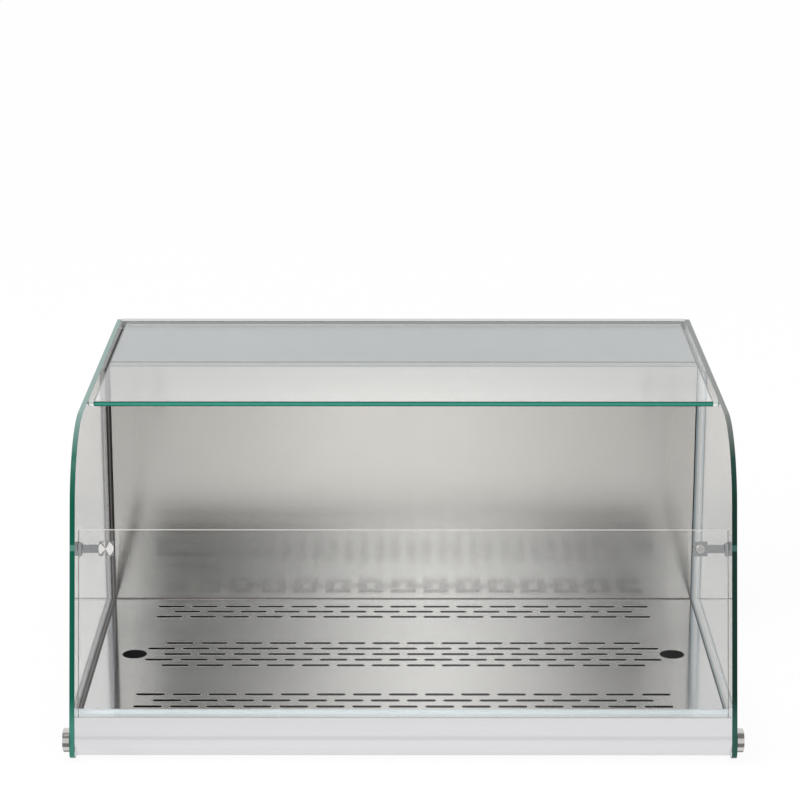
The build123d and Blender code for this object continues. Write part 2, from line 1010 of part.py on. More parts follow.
def machine_side():
    """One side sheet of the machine compartment, with a rear flange for the cover's screws."""
    side = block(
        body_half - sheet, body_half, wall_back, rear_cover_front, tray_side_height, cover_bottom
    )
    side -= block(
        body_half - 2 * sheet,
        body_half + 1,
        rail_front - slip,
        rear_cover_back,
        rail_bottom,
        cover_top,
    )
    flange = block(
        body_half - side_flange,
        body_half,
        rear_cover_front - sheet,
        rear_cover_front,
        tray_side_height,
        rail_bottom,
    )
    piece = side + flange
    for height in cover_screw_heights:
        piece -= cover_screw_hole(body_half - side_flange / 2, height)
    return both_sides(piece)


def cover_screw_hole(x, z):
    """The clearance hole of one rear cover screw."""
    return rod(
        (x, rear_cover_front - 2 * cover_screw_length, z),
        (x, rear_cover_back + 1, z),
        cover_screw_radius + screw_slip,
    )


def louvre_places():
    """X and Z of every louvre, in two columns."""
    places = []
    for offset in louvre_offsets:
        for index in range(louvre_count):
            places.append((compressor_x + offset, louvre_foot + index * louvre_pitch))
    return places


def rear_cover():
    """The rear cover with louvres and the cut-outs of the controls."""
    half = body_half - sheet / 2
    cover = block(-half, half, rear_cover_front, rear_cover_back, tray_rear_height, rail_bottom)
    hoods = []
    slots = []
    for x, z in louvre_places():
        outline = Polyline(
            (rear_cover_back, z),
            (rear_cover_back + louvre_rise, z),
            (rear_cover_back, z + louvre_hood),
            close=True,
        )
        hoods.append(across(make_face(outline), x - louvre_width / 2, x + louvre_width / 2))
        slots.append(
            block(
                x - louvre_width / 2,
                x + louvre_width / 2,
                rear_cover_front - 1,
                rear_cover_back + 1,
                z - louvre_slot,
                z,
            )
        )
    cover = cover + hoods - slots
    for x, z, width, tall in (
        (controller_x, control_height, controller_width, controller_tall),
        (switch_x, control_height, switch_width, switch_tall),
        (inlet_x, inlet_height, inlet_width, inlet_tall),
    ):
        cover -= block(
            x - width / 2,
            x + width / 2,
            rear_cover_front - 1,
            rear_cover_back + 1,
            z - tall / 2,
            z + tall / 2,
        )
    for side in (-1, 1):
        for height in cover_screw_heights:
            cover -= cover_screw_hole(side * (body_half - side_flange / 2), height)
    return cover


def rear_cover_screws():
    """The screws of the rear cover."""
    screws = []
    x = body_half - side_flange / 2
    for z in cover_screw_heights:
        shank = rod(
            (x, rear_cover_back - cover_screw_length, z), (x, rear_cover_back, z),
            cover_screw_radius,
        )
        head = rod(
            (x, rear_cover_back, z), (x, rear_cover_back + cover_screw_head_height, z),
            cover_screw_head,
        )
        rim = head.faces().sort_by(Axis.Y)[-1].edges()
        screws += both_sides(shank + fillet(rim, cover_screw_head_height / 2))
    return screws


def cutout_body(x, z, width, tall, depth):
    """A body that fills a cut-out of the rear cover with a small gap, behind the cover's face."""
    return block(
        x - width / 2 + screw_slip,
        x + width / 2 - screw_slip,
        rear_cover_back - depth,
        rear_cover_back,
        z - tall / 2 + screw_slip,
        z + tall / 2 - screw_slip,
    )


def controller_housing():
    """The temperature controller's case with its bezel, display recess and button wells."""
    x, z = controller_x, control_height
    face = rear_cover_back + bezel_thickness
    case = cutout_body(x, z, controller_width, controller_tall, controller_depth)
    bezel = block(
        x - controller_width / 2 - bezel_margin,
        x + controller_width / 2 + bezel_margin,
        rear_cover_back,
        face,
        z - controller_tall / 2 - bezel_margin,
        z + controller_tall / 2 + bezel_margin,
    )
    bezel = chamfer(bezel.faces().sort_by(Axis.Y)[-1].edges(), bezel_chamfer)
    window = block(
        x + display_shift - display_width / 2,
        x + display_shift + display_width / 2,
        face - display_depth,
        face + 1,
        z - display_tall / 2,
        z + display_tall / 2,
    )
    housing = case + bezel - window
    for place in button_places():
        well = rod(
            (place, face + button_proud - button_length - button_travel - slip, z),
            (place, face + 1, z),
            button_radius + slip,
        )
        housing -= well
    return housing


def controller_display():
    """The display window of the controller."""
    x, z = controller_x + display_shift, control_height
    face = rear_cover_back + bezel_thickness
    return block(
        x - display_width / 2 + screw_slip,
        x + display_width / 2 - screw_slip,
        face - display_depth,
        face - display_drop,
        z - display_tall / 2 + screw_slip,
        z + display_tall / 2 - screw_slip,
    )


def button_places():
    """X of the three controller buttons."""
    return [controller_x + button_shift + index * button_pitch for index in (-1, 0, 1)]


def controller_button(x):
    """One push button of the controller."""
    face = rear_cover_back + bezel_thickness + button_proud
    button = rod((x, face - button_length, control_height), (x, face, control_height), button_radius)
    return fillet(button.faces().sort_by(Axis.Y)[-1].edges(), button_round)


def switch_frame():
    """The frame of the rocker switch."""
    x, z = switch_x, control_height
    body = cutout_body(x, z, switch_width, switch_tall, switch_depth)
    bezel = block(
        x - switch_width / 2 - switch_bezel_margin,
        x + switch_width / 2 + switch_bezel_margin,
        rear_cover_back,
        rear_cover_back + switch_bezel_thickness,
        z - switch_tall / 2 - switch_bezel_margin,
        z + switch_tall / 2 + switch_bezel_margin,
    )
    well = block(
        x - switch_width / 2 + switch_frame_wall,
        x + switch_width / 2 - switch_frame_wall,
        rear_cover_back - switch_depth / 2,
        rear_cover_back + switch_bezel_thickness + 1,
        z - switch_tall / 2 + switch_frame_wall,
        z + switch_tall / 2 - switch_frame_wall,
    )
    half = switch_width / 2 - switch_frame_wall / 2
    axle = rod(
        (x - half, rear_cover_back, z), (x + half, rear_cover_back, z), paddle_axle + bore_slip
    )
    return body + bezel - well - axle


def switch_paddle():
    """The rocker, tilted to its off side, with its axle."""
    x, z = switch_x, control_height
    half = switch_width / 2 - switch_frame_wall - slip
    tall = switch_tall / 2 - switch_frame_wall - 2 * slip
    outline = Polyline(
        (rear_cover_back - paddle_thickness / 2, z - tall),
        (rear_cover_back + paddle_thickness / 2, z - tall),
        (rear_cover_back + paddle_thickness / 2 - paddle_dip, z),
        (rear_cover_back + paddle_thickness / 2, z + tall),
        (rear_cover_back - paddle_thickness / 2, z + tall),
        close=True,
    )
    paddle = across(make_face(outline), x - half, x + half)
    reach = switch_width / 2 - switch_frame_wall / 2 - slip
    paddle += rod((x - reach, rear_cover_back, z), (x + reach, rear_cover_back, z), paddle_axle)
    return paddle.rotate(Axis((x, rear_cover_back, z), (1, 0, 0)), paddle_tilt)


def power_inlet():
    """The mains inlet: its case and three blades."""
    x, z = inlet_x, inlet_height
    case = cutout_body(x, z, inlet_width, inlet_tall, inlet_depth)
    flange = block(
        x - inlet_flange_width / 2,
        x + inlet_flange_width / 2,
        rear_cover_back,
        rear_cover_back + inlet_flange_thickness,
        z - inlet_tall / 2 - inlet_flange_margin,
        z + inlet_tall / 2 + inlet_flange_margin,
    )
    floor_y = rear_cover_back - inlet_depth + inlet_floor
    socket = block(
        x - inlet_width / 2 + inlet_wall,
        x + inlet_width / 2 - inlet_wall,
        floor_y,
        rear_cover_back + inlet_flange_thickness + 1,
        z - inlet_tall / 2 + inlet_wall,
        z + inlet_tall / 2 - inlet_wall,
    )
    pieces = [case + flange - socket]
    for offset_x, offset_z in (
        (-inlet_pin_spread, inlet_pin_rise),
        (0, inlet_earth_rise),
        (inlet_pin_spread, inlet_pin_rise),
    ):
        blade = block(
            x + offset_x - inlet_pin_width / 2,
            x + offset_x + inlet_pin_width / 2,
            floor_y,
            floor_y + inlet_pin_length,
            z + offset_z - inlet_pin_tall / 2,
            z + offset_z + inlet_pin_tall / 2,
        )
        pieces.append(blade)
    return pieces


def pipe(points, radii, radius):
    """A round pipe along straight runs joined by bends."""
    path = FilletPolyline(*points, radius=radii)
    section = Plane(origin=path @ 0, z_dir=path % 0) * Circle(radius)
    return sweep(section, path)


def compressor_shell():
    """The welded compressor pot, with a domed top and a seam flange."""
    middle = shell_height / 2
    pot = Pos(0, 0, middle) * Cylinder(shell_radius, shell_height)
    pot = fillet(pot.faces().sort_by(Axis.Z)[-1].edges(), shell_crown)
    pot = fillet(pot.faces().sort_by(Axis.Z)[0].edges(), shell_heel)
    seam = Pos(0, 0, middle) * Cylinder(shell_radius + shell_flange, shell_flange_height)
    return Pos(compressor_x, compressor_y, shell_bottom) * (pot + seam)


def grommet_places():
    """X and Y of the compressor's four rubber mounts."""
    dx = mount_plate_length / 2 - grommet_inset
    dy = mount_plate_width / 2 - grommet_inset
    return [(compressor_x + i * dx, compressor_y + j * dy) for i in (-1, 1) for j in (-1, 1)]


def compressor_base():
    """The mounting plate under the compressor."""
    flat = RectangleRounded(mount_plate_length, mount_plate_width, mount_plate_corner)
    plate = Pos(compressor_x, compressor_y, mount_plate_bottom) * extrude(
        flat, mount_plate_thickness
    )
    for x, y in grommet_places():
        plate -= rod((x, y, 0), (x, y, shell_bottom + 1), mount_bolt_radius + screw_slip)
    return plate


def compressor_grommets():
    """Rubber mounts between the plate and the tray."""
    pieces = []
    for x, y in grommet_places():
        grommet = rod((x, y, tray_top), (x, y, mount_plate_bottom), grommet_radius)
        grommet -= rod((x, y, 0), (x, y, shell_bottom + 1), mount_bolt_radius + screw_slip)
        pieces.append(grommet)
    return pieces


def compressor_bolts():
    """Bolts down through the plate and the rubber mounts."""
    pieces = []
    for x, y in grommet_places():
        shank = rod((x, y, tray_top), (x, y, shell_bottom), mount_bolt_radius)
        top = shell_bottom + mount_bolt_head_height
        pieces.append(shank + rod((x, y, shell_bottom), (x, y, top), mount_bolt_head))
    return pieces


def compressor_terminal_cover():
    """The plastic cover over the compressor's terminals."""
    x = compressor_x - shell_radius
    cover = block(
        x - terminal_cover_proud,
        x + terminal_cover_sunk,
        compressor_y - terminal_cover_width / 2,
        compressor_y + terminal_cover_width / 2,
        terminal_cover_foot,
        terminal_cover_head,
    )
    cover = fillet(cover.edges().filter_by(Axis.Z), terminal_cover_round)
    shell = rod(
        (compressor_x, compressor_y, 0),
        (compressor_x, compressor_y, terminal_cover_head + 1),
        shell_radius + slip,
    )
    return cover - shell


def condenser_tube_ends():
    """X where the condenser's straight runs end, left and right."""
    right = condenser_left + (condenser_fin_count - 1) * condenser_fin_pitch
    return condenser_left - condenser_overrun, right + condenser_overrun


def serpentine(first, last, rows, pitch, start_row, place):
    """Points of a tube that runs to and fro, where place turns a run and a row into a point."""
    points = []
    for row in range(rows):
        ends = (first, last) if row % 2 == 0 else (last, first)
        offset = start_row + row * pitch
        points += [place(ends[0], offset), place(ends[1], offset)]
    return points


def condenser_tube():
    """The condenser's serpentine tube."""
    left, right = condenser_tube_ends()
    points = serpentine(
        left, right, condenser_rows, condenser_row_pitch, condenser_first_row,
        lambda x, z: (x, condenser_y, z),
    )
    return pipe(points, condenser_row_pitch / 2 - bend_slip, pipe_radius)


def condenser_fins():
    """The condenser's fins."""
    height = condenser_rows * condenser_row_pitch
    bottom = condenser_first_row - condenser_row_pitch / 2
    face = Pos(condenser_y, bottom + height / 2) * Rectangle(condenser_depth, height)
    holes = [
        Pos(condenser_y, condenser_first_row + row * condenser_row_pitch)
        * Circle(pipe_radius + bore_slip)
        for row in range(condenser_rows)
    ]
    face -= holes
    fins = []
    for index in range(condenser_fin_count):
        x = condenser_left + index * condenser_fin_pitch
        fins.append(across(face, x - fin_thickness / 2, x + fin_thickness / 2))
    return fins


def fan_axis():
    """X and Z of the condenser fan's axis."""
    x = condenser_left + (condenser_fin_count - 1) * condenser_fin_pitch / 2
    z = condenser_first_row + (condenser_rows - 1) * condenser_row_pitch / 2
    return x, z


def condenser_shroud():
    """The shroud in front of the condenser with its collar, legs and the motor's strap."""
    x, z = fan_axis()
    half_x = condenser_left + condenser_fin_count * condenser_fin_pitch - x + shroud_margin
    half_z = condenser_rows * condenser_row_pitch / 2
    inner = condenser_fan_radius + fan_tip_gap
    plate = block(x - half_x, x + half_x, shroud_back - sheet, shroud_back, z - half_z, z + half_z)
    legs = block(
        x - half_x, x + half_x, shroud_back - sheet, shroud_back + condenser_depth,
        tray_top, z - half_z,
    )
    legs -= block(
        x - half_x + sheet, x + half_x - sheet, shroud_back, shroud_back + condenser_depth + 1,
        tray_top - 1, z - half_z - sheet,
    )
    collar = rod((x, collar_front, z), (x, shroud_back, z), inner + sheet)
    shroud = plate + legs + collar
    shroud -= rod((x, collar_front - 1, z), (x, shroud_back + 1, z), inner)
    reach = inner + sheet
    strap = block(
        x - reach, x + reach, strap_y - sheet, strap_y, z - strap_width / 2, z + strap_width / 2
    )
    ears = [
        block(
            x + side * reach - sheet / 2,
            x + side * reach + sheet / 2,
            strap_y - sheet,
            shroud_back,
            z - strap_width / 2,
            z + strap_width / 2,
        )
        for side in (-1, 1)
    ]
    shroud = shroud + strap + ears
    return shroud


def condenser_fan_motor():
    """The fan motor with its shaft."""
    x, z = fan_axis()
    end = strap_y + fan_motor_length
    motor = rod((x, strap_y, z), (x, end, z), fan_motor_radius)
    motor = fillet(motor.faces().sort_by(Axis.Y)[-1].edges(), fan_motor_round)
    return motor + rod((x, end, z), (x, fan_middle + fan_hub_length / 2, z), fan_shaft_radius)


def fan_blades(hub_radius, tip_radius, count, chord, thickness, pitch_angle):
    """Flat pitched blades round the Z axis, from inside the hub to the tips."""
    blades = []
    length = tip_radius - hub_radius + blade_root
    middle = hub_radius - blade_root + length / 2
    flat = Rot(pitch_angle, 0, 0) * Box(length, chord, thickness)
    disc = Cylinder(tip_radius, 4 * chord)
    blade = (Pos(middle, 0, 0) * flat) & disc
    for index in range(count):
        blades.append(Rot(0, 0, 360 * index / count) * blade)
    return blades


def condenser_fan_blade():
    """The condenser fan: a hub with pitched blades."""
    x, z = fan_axis()
    hub = Cylinder(fan_hub_radius, fan_hub_length)
    fan = hub + fan_blades(
        fan_hub_radius, condenser_fan_radius, fan_blade_count,
        fan_hub_length * 2, fan_blade_thickness, fan_blade_pitch,
    )
    fan -= Cylinder(fan_shaft_radius + bore_slip, 4 * fan_hub_length)
    return Pos(x, fan_middle, z) * (Rot(90, 0, 0) * fan)


def small_fan_frame(side):
    """The frame of one fan in the well, with spokes and a spindle."""
    base = liner_bottom + liner_wall
    frame = extrude(
        RectangleRounded(small_fan_size, small_fan_size, small_fan_corner), small_fan_height
    )
    frame -= Pos(0, 0, small_fan_height / 2) * Cylinder(small_fan_bore, small_fan_height + 2)
    hub = Pos(0, 0, small_fan_base / 2) * Cylinder(small_fan_hub, small_fan_base)
    frame += hub
    for turn in (0, 90):
        spoke = Box(2 * small_fan_bore + 2, small_fan_spoke, small_fan_base)
        frame += Rot(0, 0, turn + 45) * (Pos(0, 0, small_fan_base / 2) * spoke)
    spindle_top = small_fan_height - small_fan_spindle_drop
    frame += Pos(0, 0, spindle_top / 2) * Cylinder(small_fan_spindle, spindle_top)
    return Pos(side * small_fan_offset, small_fan_y, base) * frame


def small_fan_rotor(side):
    """The rotor of one fan in the well."""
    base = liner_bottom + liner_wall
    low = small_fan_base + small_fan_gap
    high = small_fan_height - small_fan_top_gap
    middle = (low + high) / 2
    hub = Pos(0, 0, middle) * Cylinder(small_fan_hub, high - low)
    blades = fan_blades(
        small_fan_hub, small_fan_bore - small_fan_top_gap, small_blade_count,
        small_blade_chord, small_blade_thickness, small_blade_pitch,
    )
    rotor = hub + [Pos(0, 0, middle) * blade for blade in blades]
    bore_top = small_fan_height - small_fan_spindle_drop + slip
    rotor -= Cylinder(small_fan_spindle + bore_slip, 2 * bore_top)
    return Pos(side * small_fan_offset, small_fan_y, base) * rotor


def evaporator_tube():
    """The evaporator's serpentine tube."""
    points = serpentine(
        -evaporator_end, evaporator_end, evaporator_rows, evaporator_row_pitch, evaporator_first_row,
        lambda x, y: (x, y, evaporator_z),
    )
    return pipe(points, evaporator_row_pitch / 2 - bend_slip, pipe_radius)


def evaporator_fins():
    """The evaporator's fins, standing in the well."""
    rows = range(evaporator_rows)
    depth = evaporator_rows * evaporator_row_pitch
    centre = evaporator_first_row + (evaporator_rows - 1) * evaporator_row_pitch / 2
    face = Pos(centre, evaporator_z) * Rectangle(depth, evaporator_height)
    face -= [
        Pos(evaporator_first_row + row * evaporator_row_pitch, evaporator_z)
        * Circle(pipe_radius + bore_slip)
        for row in rows
    ]
    count = int(2 * evaporator_half / evaporator_fin_pitch) + 1
    first = -(count - 1) * evaporator_fin_pitch / 2
    fins = []
    for index in range(count):
        x = first + index * evaporator_fin_pitch
        fins.append(across(face, x - fin_thickness / 2, x + fin_thickness / 2))
    return fins


def suction_line():
    """The pipe from the evaporator to the compressor."""
    start_y = evaporator_first_row + (evaporator_rows - 1) * evaporator_row_pitch
    port_y = compressor_y - shell_radius - slip
    rise_y = port_y - suction_turn
    points = [
        (-evaporator_end, start_y, evaporator_z),
        (suction_x, start_y, evaporator_z),
        (suction_x, rise_y, evaporator_z),
        (suction_x, rise_y, port_height),
        (compressor_x, rise_y, port_height),
        (compressor_x, port_y, port_height),
    ]
    return pipe(points, [bend_radius, bend_radius, bend_radius, small_bend], pipe_radius)


def discharge_line():
    """The pipe from the compressor to the condenser's inlet."""
    port_x = compressor_x + shell_radius + slip
    left = condenser_tube_ends()[0]
    top = condenser_first_row + (condenser_rows - 1) * condenser_row_pitch
    turn = left - discharge_turn
    points = [
        (port_x, compressor_y, port_height),
        (turn, compressor_y, port_height),
        (turn, compressor_y, top),
        (turn, condenser_y, top),
        (left, condenser_y, top),
    ]
    return pipe(points, bend_radius, pipe_radius)


def liquid_line():
    """The pipe from the condenser's outlet to the filter drier."""
    left = condenser_tube_ends()[0]
    points = [
        (left, condenser_y, condenser_first_row),
        (drier_x, condenser_y, condenser_first_row),
        (drier_x, drier_back(), condenser_first_row),
    ]
    return pipe(points, bend_radius, pipe_radius)


def drier_back():
    """Y of the filter drier's rear end."""
    return condenser_y - drier_gap


def filter_drier():
    """The filter drier: a copper cartridge with drawn ends."""
    back = drier_back()
    front = back - drier_length
    edges = Polyline(
        (0, 0),
        (pipe_radius, 0),
        (drier_radius, drier_taper),
        (drier_radius, drier_length - drier_taper),
        (pipe_radius, drier_length),
        (0, drier_length),
        close=True,
    )
    turned = revolve(Plane.XZ * make_face(edges), Axis.Z)
    return Plane(origin=(drier_x, front, condenser_first_row), z_dir=(0, 1, 0)) * turned


def capillary_tube():
    """The thin pipe from the filter drier to the evaporator."""
    front = drier_back() - drier_length
    drop_y = front - capillary_drop
    low = liner_bottom + liner_wall + capillary_rise
    points = [
        (drier_x, front, condenser_first_row),
        (drier_x, drop_y, condenser_first_row),
        (drier_x, drop_y, low),
        (capillary_x, drop_y, low),
        (capillary_x, evaporator_first_row, low),
        (capillary_x, evaporator_first_row, evaporator_z),
        (-evaporator_end, evaporator_first_row, evaporator_z),
    ]
    bends = 3 * [capillary_bend] + 2 * [capillary_small_bend]
    return pipe(points, bends, capillary_radius)


glass = side_glass()
save("side_glass_right", glass)
save("side_glass_left", mirror(glass, about=Plane.YZ))
save("glass_caps", glass_caps())
save("glass_sleeves", glass_sleeves())
save("top_glass", top_glass())
save("top_glass_spacers", top_glass_spacers())
save("top_glass_gasket", top_glass_gasket())
save("rear_rail", rear_rail())
save("front_fascia", front_fascia())
save("front_panel", front_panel())
save("panel_bushes", panel_bushes())
save("connector_arms", both_sides(connector_arm()))
save("connector_pins", both_sides(connector_pin()))
save("connector_leaves", both_sides(connector_leaf()))
save("connector_glass_screws", both_sides(glass_screw()))
save("panel_bolt", panel_bolt())
save("panel_knob", panel_knob())
save("panel_nuts", panel_nuts())
save("floor_plate", floor_plate())
save("well_liner", well_liner())
save("base_insulation", base_insulation())
save("base_tray", base_tray())
save("side_rails", side_rail())
save("side_seals", both_sides(side_seal()))
save("feet", feet())
save("drain_spout", drain_spout())
save("back_wall", back_wall())
save("wall_insulation", wall_insulation())
save("machine_top_cover", machine_top_cover())
save("machine_sides", machine_side())
save("rear_cover", rear_cover())
save("rear_cover_screws", rear_cover_screws())
save("controller_housing", controller_housing())
save("controller_display", controller_display())
for name, place in zip(("down", "set", "up"), button_places()):
    save(f"button_{name}", controller_button(place))
save("rocker_switch_frame", switch_frame())
save("rocker_switch_paddle", switch_paddle())
save("power_inlet", power_inlet())
save("compressor_shell", compressor_shell())
save("compressor_base", compressor_base())
save("compressor_grommets", compressor_grommets())
save("compressor_bolts", compressor_bolts())
save("compressor_terminal_cover", compressor_terminal_cover())
save("condenser_tube", condenser_tube())
save("condenser_fins", condenser_fins())
save("condenser_shroud", condenser_shroud())
save("condenser_fan_motor", condenser_fan_motor())
save("condenser_fan_blade", condenser_fan_blade())
save("evaporator_tube", evaporator_tube())
save("evaporator_fins", evaporator_fins())
save("evaporator_fan_frames", [small_fan_frame(-1), small_fan_frame(1)])
save("evaporator_fan_rotor_left", small_fan_rotor(-1))
save("evaporator_fan_rotor_right", small_fan_rotor(1))
save("suction_line", suction_line())
save("discharge_line", discharge_line())
save("liquid_line", liquid_line())
save("filter_drier", filter_drier())
save("capillary_tube", capillary_tube())
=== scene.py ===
# %% [markdown]
# # A refrigerated display case, dressed for its picture
#
# The solids of the case come in ready made, at their real size in metres. This file gives
# them their finishes: clear glass with green edges, brushed and bright steel, satin
# aluminium, rubber and mouldings. It also adds the thin things that a solid model leaves
# out, such as the coloured bands on the glass edges. Each step says what the real thing is
# like, how it could be made, and why this way was chosen.

# %% Load the solids
import math

import bpy
import numpy as np
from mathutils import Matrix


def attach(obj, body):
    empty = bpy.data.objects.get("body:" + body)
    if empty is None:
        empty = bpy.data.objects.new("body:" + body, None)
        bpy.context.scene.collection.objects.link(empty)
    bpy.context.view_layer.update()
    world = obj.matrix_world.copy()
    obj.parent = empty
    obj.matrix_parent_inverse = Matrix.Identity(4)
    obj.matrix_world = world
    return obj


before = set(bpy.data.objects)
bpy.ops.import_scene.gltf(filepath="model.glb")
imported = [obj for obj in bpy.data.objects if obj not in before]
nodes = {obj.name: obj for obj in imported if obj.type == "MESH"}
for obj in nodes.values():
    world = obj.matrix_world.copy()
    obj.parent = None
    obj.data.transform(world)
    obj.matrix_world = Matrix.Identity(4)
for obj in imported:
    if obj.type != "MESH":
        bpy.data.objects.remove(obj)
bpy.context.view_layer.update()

# %% [markdown]
# ## Sizes that the new pieces share with the solids
#
# A band that lies on a glass edge must follow the same line as the edge. The outline of a
# side glass is a leaning front line, a wide bend, a level top and a straight back. The few
# numbers that set this line are written once here, in metres.

# %% Sizes of the glass outline
outer_half = 0.385
glass_thickness = 0.006
inner_half = outer_half - glass_thickness
half_depth = 0.325
top_height = 0.369
glass_foot = 0.003
lean = math.radians(16.2)
front_corner_radius = 0.012
top_bend_radius = 0.115
rear_corner_radius = 0.005
floor_top = 0.05


def front_line_y(z):
    """Y of the leaning front edge at height z: the corner arc's touching point plus a slope."""
    touch_y = -half_depth + front_corner_radius * (1 - math.cos(lean))
    touch_z = glass_foot + front_corner_radius * (1 + math.sin(lean))
    return touch_y + (z - touch_z) * math.tan(lean)


def leaning_point(setback, rise):
    """Y and Z of a point a setback behind the front edge and a rise up along it."""
    y = front_line_y(floor_top) + rise * math.sin(lean) + setback * math.cos(lean)
    z = floor_top + rise * math.cos(lean) - setback * math.sin(lean)
    return y, z


print("front edge at the floor:", round(front_line_y(floor_top), 4))

# %% [markdown]
# ## The camera
#
# The picture was taken from straight in front of the case, slightly from above, with a
# long lens: the sides hardly spread. A long lens far away keeps a box looking like a box.
# The lens and the tilt were worked out from the outline of the real case.

# %% Place the camera
camera_data = bpy.data.cameras.new("camera")
camera_data.sensor_width = 36.0
camera_data.lens = 2709.0 / 800.0 * 36.0
camera_data.clip_end = 50.0
camera = bpy.data.objects.new("camera", camera_data)
bpy.context.scene.collection.objects.link(camera)
camera.location = (0.0, -3.224, 1.240)
camera.rotation_euler = (math.radians(90.0 - 15.51), 0.0, 0.0013)
bpy.context.scene.camera = camera
bpy.context.scene.view_settings.view_transform = "Standard"
print("lens:", round(camera_data.lens, 1), "mm")

# %% [markdown]
# ## Node helpers
#
# A material in Blender is a small graph of nodes. Writing it out node by node is long, so
# a few short helpers make a node, set its values and link its inputs in one line. Effects
# that several finishes use, such as a brushed grain, are built once as a node group and
# placed in each material with its own values.


# %% Helpers for nodes
def add_node(tree, kind, **values):
    """Make a node of a kind, and set each named input to a value or link it from a socket."""
    node = tree.nodes.new(kind)
    for name, value in values.items():
        key = name.replace("_", " ")
        socket = node.inputs.get(key) or node.inputs.get(key.title())
        if isinstance(value, bpy.types.NodeSocket):
            tree.links.new(value, socket)
        else:
            socket.default_value = value
    return node


def math_node(tree, operation, first, second=0.0):
    """One step of arithmetic. Each side is a number or a socket."""
    node = tree.nodes.new("ShaderNodeMath")
    node.operation = operation
    for socket, value in zip(node.inputs, (first, second)):
        if isinstance(value, bpy.types.NodeSocket):
            tree.links.new(value, socket)
        else:
            socket.default_value = value
    return node.outputs[0]


def distance_of(tree, first, second):
    """The length of a flat step: the root of the sum of both squares."""
    squares = [math_node(tree, "MULTIPLY", part, part) for part in (first, second)]
    return math_node(tree, "SQRT", math_node(tree, "ADD", *squares))


def mix_colour(tree, factor, first, second):
    """Mix two colours by a factor. Each is a colour or a socket."""
    node = tree.nodes.new("ShaderNodeMix")
    node.data_type = "RGBA"
    for index, value in ((0, factor), (6, first), (7, second)):
        if isinstance(value, bpy.types.NodeSocket):
            tree.links.new(value, node.inputs[index])
        elif index == 0:
            node.inputs[index].default_value = value
        else:
            node.inputs[index].default_value = (*value, 1.0)
    return node.outputs[2]


def ramp(tree, value, low, high, start=0.0, end=1.0):
    """A straight ramp from start to end while value goes from low to high."""
    node = tree.nodes.new("ShaderNodeMapRange")
    node.clamp = True
    if isinstance(value, bpy.types.NodeSocket):
        tree.links.new(value, node.inputs[0])
    for index, number in enumerate((low, high, start, end), 1):
        node.inputs[index].default_value = number
    return node.outputs[0]


def object_points(tree, location=(0, 0, 0), rotation=(0, 0, 0)):
    """Points in the object's own space, in metres, turned and moved by a Mapping."""
    place = tree.nodes.new("ShaderNodeTexCoord").outputs["Object"]
    mapping = tree.nodes.new("ShaderNodeMapping")
    mapping.vector_type = "POINT"
    tree.links.new(place, mapping.inputs[0])
    mapping.inputs[1].default_value = location
    mapping.inputs[2].default_value = rotation
    return mapping.outputs[0]


def place_of(tree):
    """X, Y and Z of the point that is being shaded, in metres."""
    split = tree.nodes.new("ShaderNodeSeparateXYZ")
    tree.links.new(tree.nodes.new("ShaderNodeTexCoord").outputs["Object"], split.inputs[0])
    return split.outputs


print("helpers ready")


# %% [markdown]
# ## Shared effects as node groups
#
# A brushed sheet has long fine scratches in one direction. Noise that is stretched a
# hundred times along that direction looks just like it. Handling leaves soft smudges,
# which change only how sharp a reflection is. Moulded plastic has a fine even grain, and
# turned metal has rings round its axis. Each group takes a vector and a few amounts, and
# puts out a mask or a height that the material then uses.


# %% Build the groups
def new_group(name, inputs, outputs):
    """An empty shader group with named sockets: (name, kind, default)."""
    tree = bpy.data.node_groups.new(name, "ShaderNodeTree")
    for label, kind, default in inputs:
        socket = tree.interface.new_socket(label, in_out="INPUT", socket_type=kind)
        if default is not None:
            socket.default_value = default
    for label, kind in outputs:
        tree.interface.new_socket(label, in_out="OUTPUT", socket_type=kind)
    return tree, tree.nodes.new("NodeGroupInput"), tree.nodes.new("NodeGroupOutput")


def noise_node(tree, vector, **values):
    """Noise over a vector, with its scale and the rest by name."""
    return add_node(tree, "ShaderNodeTexNoise", Vector=vector, **values)


def scaled_vector(tree, vector, scale):
    """A vector multiplied by a vector, part by part."""
    node = tree.nodes.new("ShaderNodeVectorMath")
    node.operation = "MULTIPLY"
    tree.links.new(vector, node.inputs[0])
    if isinstance(scale, bpy.types.NodeSocket):
        tree.links.new(scale, node.inputs[1])
    else:
        node.inputs[1].default_value = scale
    return node.outputs[0]


def build_grain():
    """Streaks: fine noise stretched by a stretch vector, plus a broader and fainter copy."""
    tree, source, sink = new_group(
        "brushed_grain",
        [("Vector", "NodeSocketVector", None), ("Stretch", "NodeSocketVector", (4, 400, 400))],
        [("Streak", "NodeSocketFloat"), ("Cloud", "NodeSocketFloat")],
    )
    vector, stretch = source.outputs[0], source.outputs[1]
    fine_vector = scaled_vector(tree, vector, stretch)
    fine = noise_node(tree, fine_vector, Scale=1.0, Detail=4.0, Roughness=0.7)
    broad_vector = scaled_vector(tree, vector, scaled_vector(tree, stretch, (0.6, 0.15, 0.15)))
    broad = noise_node(tree, broad_vector, Scale=1.0, Detail=3.0, Roughness=0.5)
    cloud = noise_node(tree, vector, Scale=7.0, Detail=3.0, Roughness=0.6)
    streak = math_node(
        tree,
        "ADD",
        math_node(tree, "MULTIPLY", fine.outputs[0], 0.6),
        math_node(tree, "MULTIPLY", broad.outputs[0], 0.4),
    )
    tree.links.new(streak, sink.inputs[0])
    tree.links.new(cloud.outputs[0], sink.inputs[1])
    return tree


